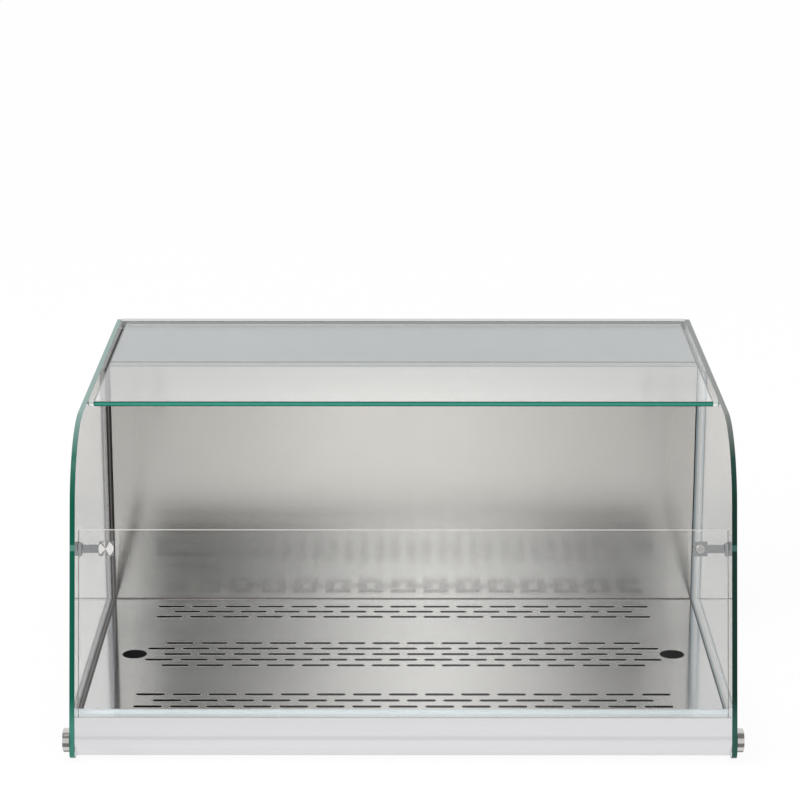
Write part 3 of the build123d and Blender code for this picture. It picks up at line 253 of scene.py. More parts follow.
def build_smudges():
    """Smudges: the top part of a soft cloud of noise."""
    tree, source, sink = new_group(
        "smudges",
        [("Vector", "NodeSocketVector", None), ("Size", "NodeSocketFloat", 14.0)],
        [("Mask", "NodeSocketFloat")],
    )
    vector, size = source.outputs[0], source.outputs[1]
    cloud = noise_node(tree, vector, Scale=size, Detail=4.0, Roughness=0.65, Distortion=0.6)
    tree.links.new(ramp(tree, cloud.outputs[0], 0.5, 0.72), sink.inputs[0])
    return tree


def build_moulding():
    """A moulded surface: fine even noise for the height and a softer one for the colour."""
    tree, source, sink = new_group(
        "moulded_grain",
        [("Vector", "NodeSocketVector", None), ("Scale", "NodeSocketFloat", 1500.0)],
        [("Height", "NodeSocketFloat"), ("Tone", "NodeSocketFloat")],
    )
    vector, scale = source.outputs[0], source.outputs[1]
    fine = noise_node(tree, vector, Scale=scale, Detail=2.0, Roughness=0.6)
    tone = noise_node(tree, vector, Scale=18.0, Detail=3.0, Roughness=0.6)
    tree.links.new(fine.outputs[0], sink.inputs[0])
    tree.links.new(tone.outputs[0], sink.inputs[1])
    return tree


def build_rings():
    """Turned rings: a sine of the distance from the local Z axis, and a fan of sectors by angle."""
    tree, source, sink = new_group(
        "turned_rings",
        [("Vector", "NodeSocketVector", None), ("Rings", "NodeSocketFloat", 9000.0)],
        [("Height", "NodeSocketFloat"), ("Sector", "NodeSocketFloat")],
    )
    split = tree.nodes.new("ShaderNodeSeparateXYZ")
    tree.links.new(source.outputs[0], split.inputs[0])
    x, y = split.outputs[0], split.outputs[1]
    radius = distance_of(tree, x, y)
    wave = math_node(tree, "SINE", math_node(tree, "MULTIPLY", radius, source.outputs[1]))
    # Painted reflection: a fan of bright and dark sectors by angle, which turned finishes mix into
    # their colour.
    angle = math_node(tree, "ARCTAN2", y, x)
    broad = math_node(tree, "COSINE", math_node(tree, "MULTIPLY", angle, 2.0))
    narrow = math_node(tree, "COSINE", math_node(tree, "MULTIPLY", angle, 7.0))
    painted_fan = math_node(tree, "ADD", broad, math_node(tree, "MULTIPLY", narrow, 0.6))
    tree.links.new(wave, sink.inputs[0])
    tree.links.new(ramp(tree, painted_fan, -1.0, 1.0), sink.inputs[1])
    return tree


def build_edge_wear():
    """Where a rounded normal leaves the true one, the point lies near an edge."""
    tree, source, sink = new_group(
        "edge_wear",
        [("Vector", "NodeSocketVector", None), ("Radius", "NodeSocketFloat", 0.0012)],
        [("Mask", "NodeSocketFloat")],
    )
    bevel = tree.nodes.new("ShaderNodeBevel")
    bevel.samples = 4
    tree.links.new(source.outputs[1], bevel.inputs["Radius"])
    dot = tree.nodes.new("ShaderNodeVectorMath")
    dot.operation = "DOT_PRODUCT"
    tree.links.new(bevel.outputs[0], dot.inputs[0])
    tree.links.new(tree.nodes.new("ShaderNodeNewGeometry").outputs["Normal"], dot.inputs[1])
    worn = ramp(tree, dot.outputs["Value"], 0.995, 0.9)
    noise = noise_node(tree, source.outputs[0], Scale=260.0, Detail=3.0)
    broken = math_node(tree, "MULTIPLY", worn, ramp(tree, noise.outputs[0], 0.35, 0.6))
    tree.links.new(broken, sink.inputs[0])
    return tree


grain_group = build_grain()
smudge_group = build_smudges()
moulding_group = build_moulding()
rings_group = build_rings()
wear_group = build_edge_wear()
print("groups:", [group.name for group in bpy.data.node_groups])


# %% [markdown]
# ## The base of every finish
#
# Every finish starts from one Principled shader, which can be metal, plastic or glass.
# Values that are the same all over sit on the shader's own sockets. Only what changes over
# the surface, such as a streaked roughness, comes in through a link.


# %% Start a material
def new_material(name, **values):
    """A material with one Principled shader. Returns the material, its tree and the shader."""
    material = bpy.data.materials.new(name)
    material.use_nodes = True
    tree = material.node_tree
    shader = tree.nodes["Principled BSDF"]
    for key, value in values.items():
        socket = shader.inputs[key.replace("_", " ")]
        socket.default_value = (*value, 1.0) if isinstance(value, tuple) else value
    return material, tree, shader


def place_group(tree, group, **values):
    """Put a shared group into a material's tree."""
    node = tree.nodes.new("ShaderNodeGroup")
    node.node_tree = group
    for name, value in values.items():
        if isinstance(value, bpy.types.NodeSocket):
            tree.links.new(value, node.inputs[name])
        else:
            node.inputs[name].default_value = value
    return node


def add_bump(tree, shader, height, strength, distance):
    """Turn a height into a small change of the surface's direction."""
    bump = tree.nodes.new("ShaderNodeBump")
    bump.inputs["Strength"].default_value = strength
    bump.inputs["Distance"].default_value = distance
    tree.links.new(height, bump.inputs["Height"])
    tree.links.new(bump.outputs[0], shader.inputs["Normal"])


def surfaced(material, tone, gloss, height=None, strength=0.0, distance=0.0002):
    """Link a colour, a roughness and, if there is one, a height. Returns the material."""
    tree = material.node_tree
    shader = tree.nodes["Principled BSDF"]
    tree.links.new(tone, shader.inputs["Base Color"])
    tree.links.new(gloss, shader.inputs["Roughness"])
    if height is not None:
        add_bump(tree, shader, height, strength, distance)
    return material


print("shader base ready")

# %% [markdown]
# ## Clear glass and clear sheet
#
# Float glass is nearly colourless from the front. It bends light by an index of 1.52, and
# at a low angle it mirrors what stands behind it, which the shader works out by itself.
# A renderer that only follows light backwards sees a glass box as dark inside, because
# lamps can't be aimed at through a bending surface. So a ray that only asks whether light
# gets through is let straight through with a slight tint.


# %% Make the clear finishes
def clear_finish(name, colour, index, roughness):
    """Glass: full transmission, a faint smudge in its gloss, and tinted shadow rays."""
    material, tree, shader = new_material(
        name, Base_Color=colour, Transmission_Weight=1.0, IOR=index, Roughness=roughness
    )
    smudge = place_group(tree, smudge_group, Vector=object_points(tree), Size=9.0)
    soft = ramp(tree, smudge.outputs[0], 0.0, 1.0, roughness, roughness + 0.01)
    tree.links.new(soft, shader.inputs["Roughness"])
    through = tree.nodes.new("ShaderNodeBsdfTransparent")
    through.inputs[0].default_value = (*(0.5 + 0.5 * part for part in colour), 1.0)
    choice = tree.nodes.new("ShaderNodeMixShader")
    path = tree.nodes.new("ShaderNodeLightPath")
    tree.links.new(path.outputs["Is Shadow Ray"], choice.inputs[0])
    tree.links.new(shader.outputs[0], choice.inputs[1])
    tree.links.new(through.outputs[0], choice.inputs[2])
    tree.links.new(choice.outputs[0], tree.nodes["Material Output"].inputs[0])
    return material


side_glass_finish = clear_finish("side_glass_clear", (0.99, 0.995, 0.992), 1.52, 0.0)
top_glass_finish = clear_finish("top_glass_clear", (0.965, 0.99, 0.985), 1.52, 0.0)
panel_finish = clear_finish("clear_panel_sheet", (0.985, 0.99, 0.99), 1.49, 0.0)
moulded_clear_finish = clear_finish("clear_moulding", (0.86, 0.93, 0.90), 1.49, 0.12)
print("clear finishes:", 4)

# %% [markdown]
# ## Brushed and bright steel
#
# The back wall is stainless sheet with a fine grain that runs from side to side. The grain
# spreads a reflection up and down but hardly sideways. The floor plate is much
# brighter: it mirrors the wall and the seals, and because thin sheet is never quite flat,
# straight lines look a little wavy in it. Both get the same grain group with other values.


# %% Make the steel finishes
sheen_near, sheen_far = 0.06, 0.36
top_shade_low, top_shade_high = 0.312, 0.345
cut_start, cut_full, cut_fade, cut_end = 0.00005, 0.00012, 0.00088, 0.00096


def steel_finish(
    name, colour, rough, stretch, grain=0.25, wave=0.0, anisotropy=0.0,
    painted_sheen_x=None, cut_shade_height=None,
):
    """Steel: a metal with streaks in roughness and height, and slow waves in the sheet.
    A wall sheet may get a painted sheen along a middle line, with painted shade towards its
    sides and near its top, and the cut edges of a punched sheet, just under a given height,
    get painted shade."""
    material, tree, shader = new_material(name, Metallic=1.0, Anisotropic=anisotropy)
    points = object_points(tree)
    streaks = place_group(tree, grain_group, Vector=points, Stretch=stretch)
    smudge = place_group(tree, smudge_group, Vector=points, Size=5.0)
    dark = tuple(part * 0.94 for part in colour)
    tone = mix_colour(tree, ramp(tree, streaks.outputs["Cloud"], 0.3, 0.7), dark, colour)
    tone = mix_colour(
        tree, ramp(tree, streaks.outputs["Streak"], 0.35, 0.65, 0.0, 0.6), tone, dark
    )
    # Painted sheen along the middle of the sheet, painted shade towards its sides, and painted
    # shade near its top, under the pane.
    if painted_sheen_x is not None:
        away = math_node(tree, "SUBTRACT", place_of(tree)[0], painted_sheen_x)
        side = ramp(tree, math_node(tree, "ABSOLUTE", away), sheen_near, sheen_far)
        tone = mix_colour(tree, side, tone, tuple(part * 0.80 for part in colour))
        high = ramp(tree, place_of(tree)[2], top_shade_low, top_shade_high, 0.0, 0.5)
        tone = mix_colour(tree, high, tone, tuple(part * 0.5 for part in colour))
    # Painted shade on the cut edges: a thin dark layer just under the sheet's top.
    if cut_shade_height is not None:
        z = place_of(tree)[2]
        upper = ramp(tree, z, cut_shade_height - cut_start, cut_shade_height - cut_full)
        lower = ramp(tree, z, cut_shade_height - cut_end, cut_shade_height - cut_fade)
        cut_shade = math_node(tree, "MULTIPLY", upper, lower)
        tone = mix_colour(tree, cut_shade, tone, (0.02, 0.02, 0.02))
    gloss = ramp(tree, streaks.outputs["Streak"], 0.3, 0.7, rough * 0.8, rough * 1.2)
    gloss = math_node(
        tree, "ADD", gloss, math_node(tree, "MULTIPLY", smudge.outputs[0], rough * 0.3)
    )
    height = math_node(tree, "MULTIPLY", streaks.outputs["Streak"], grain)
    if wave:
        slow = noise_node(tree, points, Scale=7.0, Detail=0.0)
        height = math_node(
            tree, "ADD", height, math_node(tree, "MULTIPLY", slow.outputs[0], wave)
        )
    if anisotropy:
        tangent = tree.nodes.new("ShaderNodeTangent")
        tangent.direction_type = "RADIAL"
        tangent.axis = "X"
        tree.links.new(tangent.outputs[0], shader.inputs["Tangent"])
    return surfaced(material, tone, gloss, height, 0.5, 0.0004)


wall_finish = steel_finish(
    "wall_brushed_steel", (0.705, 0.68, 0.64), 0.125, (2, 900, 900),
    grain=0.05, anisotropy=0.93, painted_sheen_x=-0.03,
)
floor_finish = steel_finish(
    "floor_bright_steel", (0.88, 0.90, 0.925), 0.09, (3, 700, 700),
    grain=0.006, wave=3.0, cut_shade_height=floor_top,
)
sheet_finish = steel_finish("rear_brushed_steel", (0.64, 0.63, 0.61), 0.33, (3, 500, 500))
liner_finish = steel_finish("well_steel", (0.015, 0.014, 0.014), 0.5, (3, 400, 400))
polished_finish = steel_finish("polished_steel", (0.5, 0.49, 0.475), 0.18, (60, 60, 60), 0.05)
screw_finish = steel_finish("plated_screws", (0.66, 0.65, 0.60), 0.28, (90, 90, 90), 0.1)
galvanised_finish = steel_finish("zinc_sheet", (0.55, 0.57, 0.58), 0.42, (60, 60, 60), 0.1)
print("steel finishes:", 7)


# %% [markdown]
# ## Aluminium, paint, copper and turned faces
#
# The front extrusion and the rear rail are anodised aluminium: very pale, satin, with die
# lines along their length. On the extrusion a darker band at its fold is painted shade, and
# a paler band behind the panel is painted light. The machine cover has a smooth coating.
# The caps and the knob were turned on a lathe, so their faces have rings, and rings throw
# light in a fan of bright and dark sectors; that fan, and the bands on the caps' rims, are
# painted reflections in the colour. The rings are worked out round each axis, with a
# Mapping that turns the axis to Z and moves it to the middle.


# %% Make aluminium, paint and copper
panel_back_y = -0.306


def aluminium_finish(name, colour, rough, stretch, fold_shade_height=None, lit_lip_height=1.0):
    """Anodised aluminium: satin metal with faint die lines and a slightly worn edge. Where
    the section folds at a given height, a darker band is painted shade, and above a lip
    height and behind the panel, a paler band is painted light."""
    material, tree, _ = new_material(name, Metallic=0.85)
    points = object_points(tree)
    streaks = place_group(tree, grain_group, Vector=points, Stretch=stretch)
    wear = place_group(tree, wear_group, Vector=points, Radius=0.0008)
    dark = tuple(part * 0.95 for part in colour)
    tone = mix_colour(tree, ramp(tree, streaks.outputs["Streak"], 0.3, 0.7), dark, colour)
    pale = tuple(min(1.0, part * 1.06) for part in colour)
    tone = mix_colour(tree, wear.outputs[0], tone, pale)
    if fold_shade_height is not None:
        # Painted shade: a darker band along the fold.
        away = math_node(tree, "SUBTRACT", place_of(tree)[2], fold_shade_height)
        fold_shade = ramp(tree, math_node(tree, "ABSOLUTE", away), 0.0032, 0.0008, 0.0, 0.75)
        tone = mix_colour(tree, fold_shade, tone, tuple(part * 0.83 for part in colour))
        # Painted light: a paler band on the lip behind the panel.
        lip_light = math_node(
            tree, "MULTIPLY",
            ramp(tree, place_of(tree)[2], lit_lip_height - 0.0005, lit_lip_height),
            ramp(tree, place_of(tree)[1], panel_back_y - 0.002, panel_back_y),
        )
        tone = mix_colour(tree, lip_light, tone, (0.94, 0.98, 1.0))
    gloss = ramp(tree, streaks.outputs["Streak"], 0.3, 0.7, rough * 0.9, rough * 1.1)
    return surfaced(material, tone, gloss, streaks.outputs["Streak"], 0.15)


def paint_finish(name, colour, rough, speckle=0.06):
    """Smooth coating: a dielectric with a very slight orange peel and worn edges."""
    material, tree, _ = new_material(name, Metallic=0.0, IOR=1.5)
    points = object_points(tree)
    grain = place_group(tree, moulding_group, Vector=points, Scale=700.0)
    wear = place_group(tree, wear_group, Vector=points, Radius=0.001)
    dark = tuple(part * (1 - speckle) for part in colour)
    tone = mix_colour(tree, ramp(tree, grain.outputs["Tone"], 0.35, 0.65), dark, colour)
    pale = tuple(0.7 * part + 0.15 for part in colour)
    worn = math_node(tree, "MULTIPLY", wear.outputs[0], 0.5)
    tone = mix_colour(tree, worn, tone, pale)
    gloss = ramp(tree, grain.outputs["Tone"], 0.3, 0.7, rough * 0.85, rough * 1.15)
    return surfaced(material, tone, gloss, grain.outputs["Height"], 0.1)


fascia_finish = aluminium_finish(
    "fascia_aluminium", (0.80, 0.80, 0.82), 0.4, (2, 300, 300), fold_shade_height=0.030, lit_lip_height=0.0435
)
rail_finish = aluminium_finish("rail_aluminium", (0.64, 0.64, 0.645), 0.32, (2, 500, 500))
fin_finish = aluminium_finish("fin_sheet", (0.75, 0.76, 0.77), 0.35, (60, 60, 60))
cover_finish = paint_finish("machine_cover_coating", (0.12, 0.15, 0.165), 0.42)
coated_finish = paint_finish("coated_fin_sheet", (0.015, 0.017, 0.02), 0.45)
enamel_finish = paint_finish("black_enamel", (0.02, 0.02, 0.022), 0.25)
foam_finish = paint_finish("insulating_foam", (0.72, 0.66, 0.45), 0.8, 0.2)
copper_finish = steel_finish("copper_pipe", (0.75, 0.38, 0.25), 0.3, (50, 50, 50), 0.1)
print("more finishes:", 8)


# %% Make the moulded and rubber finishes
def moulded_finish(name, colour, rough, scale=1500.0, bump=0.25):
    """A moulding or rubber: even colour, fine grain, slightly paler where it is handled."""
    material, tree, _ = new_material(name, IOR=1.48)
    points = object_points(tree)
    grain = place_group(tree, moulding_group, Vector=points, Scale=scale)
    wear = place_group(tree, wear_group, Vector=points, Radius=0.0006)
    pale = tuple(part * 1.5 + 0.01 for part in colour)
    tone = mix_colour(
        tree, ramp(tree, grain.outputs["Tone"], 0.3, 0.7, 0.0, 0.35), colour, pale
    )
    tone = mix_colour(tree, math_node(tree, "MULTIPLY", wear.outputs[0], 0.6), tone, pale)
    gloss = ramp(tree, grain.outputs["Height"], 0.3, 0.7, rough * 0.9, rough * 1.1)
    return surfaced(material, tone, gloss, grain.outputs["Height"], bump)


lip_edge = 0.0003
left_web_start, left_web_end = 0.3750, 0.3766
right_web_start, right_rim_start = 0.3737, 0.3760


def seal_rubber():
    """Side seals: two dark lips with a paler web between them. The web is grey on the left
    and paler on the right, where the seal is a clear one with a single dark lip."""
    material, tree, _ = new_material("seal_rubber", IOR=1.45, Specular_IOR_Level=0.3)
    x = place_of(tree)[0]
    away = math_node(tree, "ABSOLUTE", x)
    inner = ramp(tree, away, left_web_start, left_web_start + lip_edge)
    outer = ramp(tree, away, left_web_end, left_web_end + lip_edge)
    web = math_node(tree, "SUBTRACT", inner, outer)
    left = mix_colour(tree, web, (0.022, 0.018, 0.017), (0.14, 0.13, 0.125))
    clear_web = ramp(tree, away, right_web_start, right_web_start + lip_edge)
    right = mix_colour(tree, clear_web, (0.03, 0.028, 0.027), (0.32, 0.37, 0.39))
    clear_rim = ramp(tree, away, right_rim_start, right_rim_start + 2 * lip_edge)
    right = mix_colour(tree, clear_rim, right, (0.60, 0.61, 0.60))
    tone = mix_colour(tree, math_node(tree, "GREATER_THAN", x, 0.0), left, right)
    grain = place_group(tree, moulding_group, Vector=object_points(tree), Scale=900.0)
    gloss = ramp(tree, grain.outputs["Tone"], 0.3, 0.7, 0.5, 0.65)
    return surfaced(material, tone, gloss, grain.outputs["Height"], 0.15)


seal_finish = seal_rubber()
foot_finish = moulded_finish("foot_rubber", (0.018, 0.018, 0.018), 0.75, 900.0, 0.4)
black_finish = moulded_finish("black_moulding", (0.02, 0.02, 0.022), 0.45)
grey_finish = moulded_finish("grey_moulding", (0.25, 0.26, 0.27), 0.45)
window_finish = moulded_finish("display_window", (0.03, 0.004, 0.004), 0.12, 40.0, 0.0)
print("moulded finishes:", 5)


# %% Make the turned finishes
ring_depth = 0.00005
cap_axes, cap_face_radius = ((-0.311, 0.0236), (0.296, 0.024)), 0.0125


def turned_finish(name, colour, rough, location, rotation):
    """Turned metal: rings round an axis, and the bright and dark fan that they throw, painted into
    the colour as a painted reflection.
    """
    material, tree, _ = new_material(name, Metallic=1.0)
    points = object_points(tree, location=location, rotation=rotation)
    turned = place_group(tree, rings_group, Vector=points, Rings=9000.0)
    dark = tuple(part * 0.38 for part in colour)
    # Painted reflection: the fan darkens the colour in sectors, as turned rings throw light.
    painted_fan = ramp(tree, turned.outputs["Sector"], 0.05, 0.5)
    tone = mix_colour(tree, painted_fan, dark, colour)
    gloss = ramp(tree, turned.outputs["Height"], -1.0, 1.0, rough * 0.8, rough * 1.2)
    return surfaced(material, tone, gloss, turned.outputs["Height"], 0.25, ring_depth)


def turned_caps():
    """Turned caps: rings round the nearer of two axes along X, and painted reflection bands along
    the rim, set by height.
    """
    material, tree, _ = new_material("cap_turned_steel", Metallic=1.0)
    place = place_of(tree)
    reach = []
    for axis_y, axis_z in cap_axes:
        dy = math_node(tree, "SUBTRACT", place[1], axis_y)
        dz = math_node(tree, "SUBTRACT", place[2], axis_z)
        reach.append(distance_of(tree, dy, dz))
    radius = math_node(tree, "MINIMUM", *reach)
    rings = math_node(tree, "SINE", math_node(tree, "MULTIPLY", radius, 7000.0))
    # Painted reflection: dark bands along the rim, set by height.
    reflection_bands = math_node(tree, "SINE", math_node(tree, "MULTIPLY", place[2], 620.0))
    rim = ramp(tree, radius, cap_face_radius, cap_face_radius + 0.0007)
    reflection_band_mask = math_node(tree, "MULTIPLY", ramp(tree, reflection_bands, -0.4, 0.5), rim)
    tone = mix_colour(tree, reflection_band_mask, (0.62, 0.61, 0.59), (0.16, 0.155, 0.15))
    gloss = ramp(tree, rings, -1.0, 1.0, 0.16, 0.26)
    return surfaced(material, tone, gloss, rings, 0.25, ring_depth)


cap_finish = turned_caps()
arm_finish = steel_finish("connector_steel", (0.34, 0.35, 0.355), 0.25, (40, 40, 40), 0.1)
knob_x, knob_rise = -0.3427, 0.1971
knob_y, knob_z = leaning_point(0.0, knob_rise)
knob_turn = (-(math.pi / 2 - lean), 0.0, 0.0)
turn_cos, turn_sin = math.cos(knob_turn[0]), math.sin(knob_turn[0])
knob_shift = (
    -knob_x,
    -(knob_y * turn_cos - knob_z * turn_sin),
    -(knob_y * turn_sin + knob_z * turn_cos),
)
knob_finish = turned_finish("knob_turned_steel", (0.86, 0.85, 0.83), 0.2, knob_shift, knob_turn)
print("knob centre:", round(knob_y, 4), round(knob_z, 4))

# %% [markdown]
# ## The finish of every solid
#
# Each node of the frame takes one finish. A table from finish to names is easier to read
# and to change than sixty lines of assignments.

# %% Give the solids their finishes
finishes = {
    side_glass_finish: ["side_glass_left", "side_glass_right"],
    top_glass_finish: ["top_glass"],
    panel_finish: ["front_panel"],
    moulded_clear_finish: [
        "glass_sleeves", "top_glass_spacers", "top_glass_gasket", "panel_bushes",
    ],
    wall_finish: ["back_wall"],
    floor_finish: ["floor_plate"],
    liner_finish: ["well_liner"],
    sheet_finish: ["rear_cover", "machine_sides"],
    polished_finish: ["connector_glass_screws", "panel_bolt", "panel_nuts"],
    arm_finish: ["connector_arms", "connector_pins", "connector_leaves"],
    cap_finish: ["glass_caps"],
    knob_finish: ["panel_knob"],
    screw_finish: ["rear_cover_screws", "compressor_bolts"],
    galvanised_finish: ["base_tray", "compressor_base", "condenser_shroud"],
    fascia_finish: ["front_fascia"],
    rail_finish: ["rear_rail", "side_rails"],
    fin_finish: ["condenser_fins", "condenser_fan_blade"],
    coated_finish: ["evaporator_fins", "evaporator_tube"],
    cover_finish: ["machine_top_cover"],
    enamel_finish: ["compressor_shell"],
    foam_finish: ["base_insulation", "wall_insulation"],
    copper_finish: [
        "condenser_tube", "suction_line", "discharge_line",
        "liquid_line", "filter_drier", "capillary_tube",
    ],
    seal_finish: ["side_seals"],
    foot_finish: ["feet", "compressor_grommets"],
    black_finish: [
        "controller_housing", "rocker_switch_frame", "rocker_switch_paddle", "power_inlet",
        "compressor_terminal_cover", "condenser_fan_motor", "evaporator_fan_frames",
        "evaporator_fan_rotor_left", "evaporator_fan_rotor_right",
    ],
    grey_finish: ["button_down", "button_set", "button_up", "drain_spout"],
    window_finish: ["controller_display"],
}
for finish, names in finishes.items():
    for name in names:
        mesh = nodes[name].data
        mesh.materials.clear()
        mesh.materials.append(finish)
dressed = sorted(name for names in finishes.values() for name in names)
print("dressed:", len(dressed), "left:", sorted(set(nodes) - set(dressed)))

# %% [markdown]
# ## The green edges of the glass
#
# Look into the edge of a glass sheet and light comes from the whole width of the sheet, so
# the faint green of the glass adds up to a deep one. Following that light takes very many
# bounces. A thin coloured band on the edge gives the same look at once. Its shape is a
# flat profile carried along the outline: for each point of the outline, the four corners
# of the band are the point plus a small step outwards and a half width to each side.


# %% The outline as arrays
def rounded_path(corners, radii, closed, steps=24):
    """Straight runs joined by arcs. An arc's centre lies on the corner's bisector, and its
    touching points lie radius / tan(half the corner's angle) away along both runs."""
    count = len(corners)
    points = []
    for index, (corner, radius) in enumerate(zip(np.array(corners, float), radii)):
        before = np.array(corners[(index - 1) % count], float)
        after = np.array(corners[(index + 1) % count], float)
        if radius == 0 or (not closed and index in (0, count - 1)):
            points.append(corner[None, :])
            continue
        to_before = (before - corner) / np.linalg.norm(before - corner)
        to_after = (after - corner) / np.linalg.norm(after - corner)
        half = math.acos(float(np.clip(to_before @ to_after, -1, 1))) / 2
        bisector = to_before + to_after
        centre = corner + bisector / np.linalg.norm(bisector) * radius / math.sin(half)
        first = corner + to_before * radius / math.tan(half) - centre
        last = corner + to_after * radius / math.tan(half) - centre
        turn = math.atan2(first[0] * last[1] - first[1] * last[0], float(first @ last))
        angles = np.linspace(0.0, turn, steps + 1)
        rotated = np.stack(
            [
                first[0] * np.cos(angles) - first[1] * np.sin(angles),
                first[0] * np.sin(angles) + first[1] * np.cos(angles),
            ],
            axis=1,
        )
        points.append(centre + rotated)
    return np.concatenate(points)


def outward_normals(path, closed):
    """The unit step to the left of the path's direction, averaged over both neighbours."""
    if closed:
        ahead = np.roll(path, -1, axis=0) - path
        behind = path - np.roll(path, 1, axis=0)
    else:
        ahead = np.diff(path, axis=0, append=path[-1:] * 2 - path[-2:-1])
        behind = np.diff(path, axis=0, prepend=path[:1] * 2 - path[1:2])
    ahead /= np.linalg.norm(ahead, axis=1, keepdims=True)
    behind /= np.linalg.norm(behind, axis=1, keepdims=True)
    direction = ahead + behind
    direction /= np.linalg.norm(direction, axis=1, keepdims=True)
    return np.stack([-direction[:, 1], direction[:, 0]], axis=1)


outline_corners = [
    (front_line_y(glass_foot), glass_foot),
    (front_line_y(top_height), top_height),
    (half_depth, top_height),
    (half_depth, glass_foot),
]
outline_radii = [
    front_corner_radius, top_bend_radius, rear_corner_radius, rear_corner_radius,
]
glass_outline = rounded_path(outline_corners, outline_radii, True)
glass_normals = outward_normals(glass_outline, True)
print("outline points:", len(glass_outline))


# %% Sweep a flat band along a path
def grid_faces(rows, columns, wrap_rows, wrap_columns):
    """Quads of a grid of rows by columns, where each way may close on itself."""
    row = np.arange(rows if wrap_rows else rows - 1)
    column = np.arange(columns if wrap_columns else columns - 1)
    r, c = np.meshgrid(row, column, indexing="ij")
    r_next, c_next = (r + 1) % rows, (c + 1) % columns
    quads = np.stack(
        [r * columns + c, r_next * columns + c, r_next * columns + c_next, r * columns + c_next],
        axis=-1,
    )
    return quads.reshape(-1, 4)


def outward_faces(points, faces):
    """Faces turned outwards: on a closed piece the sum of a . (b x c) over all triangles is
    six times its volume, so a sum below zero means that every face looks inwards."""
    a, b, c, d = (points[faces[:, index]] for index in range(4))
    volume = np.sum(a * np.cross(b, c)) + np.sum(a * np.cross(c, d))
    return faces if volume > 0 else faces[:, ::-1]


def mesh_piece(name, vertices, faces, finish, body="case"):
    """Put arrays of vertices and faces into a mesh, give it a finish and let it ride."""
    points = vertices.reshape(-1, 3)
    mesh = bpy.data.meshes.new(name)
    mesh.from_pydata(points.tolist(), [], outward_faces(points, faces).tolist())
    mesh.validate()
    mesh.materials.append(finish)
    piece = bpy.data.objects.new(name, mesh)
    bpy.context.scene.collection.objects.link(piece)
    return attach(piece, body)


def band_along(path, normals, x_low, x_high, inner, outer):
    """A band of thin rectangular section. Its corners are the path plus the normal times
    an inner or outer step, at a low or high X."""
    inside = path + normals * inner
    outside = path + normals * outer
    low = np.full((len(path), 1), x_low)
    high = np.full((len(path), 1), x_high)
    corners = [
        np.hstack([low, inside]),
        np.hstack([low, outside]),
        np.hstack([high, outside]),
        np.hstack([high, inside]),
    ]
    return np.stack(corners, axis=1)


print("sweep ready")


# %% [markdown]
# ## Colours of the glass edges
#
# The left edge catches more light than the right one, so its colours are painted brighter,
# and both are painted paler near the foot, where the pale front stands right beside them,
# and along the top, which mirrors the bright room. Where the connector's screw goes through
# the glass a light patch is painted. All of this painted light is a change of colour with
# the height, so the material reads the height.


# %% Make the edge finishes
patch_low, patch_high, patch_fade = 0.2362, 0.2440, 0.0012


def edge_finish(name, colour, foot_colour, patch_colour, top_colour):
    """Glass edge: one deep colour with painted light: paler zones at the foot, the screw, the
    shoulder and the top.
    """
    material, tree, _ = new_material(name, Roughness=0.15, IOR=1.52, Specular_IOR_Level=0.12)
    z = place_of(tree)[2]
    points = object_points(tree)
    streaks = place_group(tree, grain_group, Vector=points, Stretch=(300, 12, 12))
    dark = tuple(part * 0.7 for part in colour)
    tone = mix_colour(tree, streaks.outputs["Streak"], dark, colour)
    # Painted light: paler zones by height at the foot, the screw's hole, the shoulder and the top.
    foot_light = ramp(tree, z, 0.075, 0.045)
    tone = mix_colour(tree, foot_light, tone, foot_colour)
    low = ramp(tree, z, patch_low, patch_low + patch_fade)
    high = ramp(tree, z, patch_high, patch_high - patch_fade)
    patch_light = math_node(tree, "MULTIPLY", math_node(tree, "MULTIPLY", low, high), 0.7)
    tone = mix_colour(tree, patch_light, tone, patch_colour)
    shoulder_light = ramp(tree, z, 0.290, 0.330, 0.0, 0.2)
    tone = mix_colour(tree, shoulder_light, tone, patch_colour)
    top_reflection = ramp(tree, z, 0.335, 0.366)
    tone = mix_colour(tree, top_reflection, tone, top_colour)
    return surfaced(material, tone, ramp(tree, streaks.outputs["Cloud"], 0.3, 0.7, 0.05, 0.12))


# Painted light: the left edge's colours are brighter than the right edge's, for the light from the
# left.
left_edge_finish = edge_finish(
    "glass_edge_left", (0.0008, 0.135, 0.083), (0.06, 0.26, 0.20), (0.15, 0.36, 0.30),
    (0.22, 0.36, 0.33),
)
right_edge_finish = edge_finish(
    "glass_edge_right", (0.004, 0.040, 0.026), (0.03, 0.12, 0.095), (0.07, 0.20, 0.165),
    (0.20, 0.22, 0.205),
)
chamfer, skin = 0.0006, 0.00006
for side, finish in (("left", left_edge_finish), ("right", right_edge_finish)):
    sign = -1 if side == "left" else 1
    x_values = sorted((sign * (inner_half + skin), sign * (outer_half - skin)))
    band = band_along(glass_outline, glass_normals, *x_values, 0, skin)
    faces = grid_faces(len(glass_outline), 4, True, True)
    piece = mesh_piece(f"side_glass_edge_{side}", band, faces, finish)
    print(piece.name, "quads:", len(faces))

# %% [markdown]
# ## The edges of the top pane and of the panel
#
# The top pane shows its front edge to the camera: bright teal in the middle and darker at
# both rims, because light leaves it straight in the middle and bounces at the rims. The
# panel is clear plastic, so its edges stay colourless, and all that shows is the narrow
# bevel along its front: a fine pale line along the top, which is a painted highlight, and
# darker lines along the sides, which are painted shade.

# %% Band the top pane
pane_front, pane_rear = 0.233 - half_depth, half_depth - 0.0138
rear_band_front, rear_band_rear = pane_rear - 0.0016, pane_rear - 0.0006
pane_top = top_height - 0.00025
pane_bottom = pane_top - glass_thickness
pane_half = inner_half - 0.007


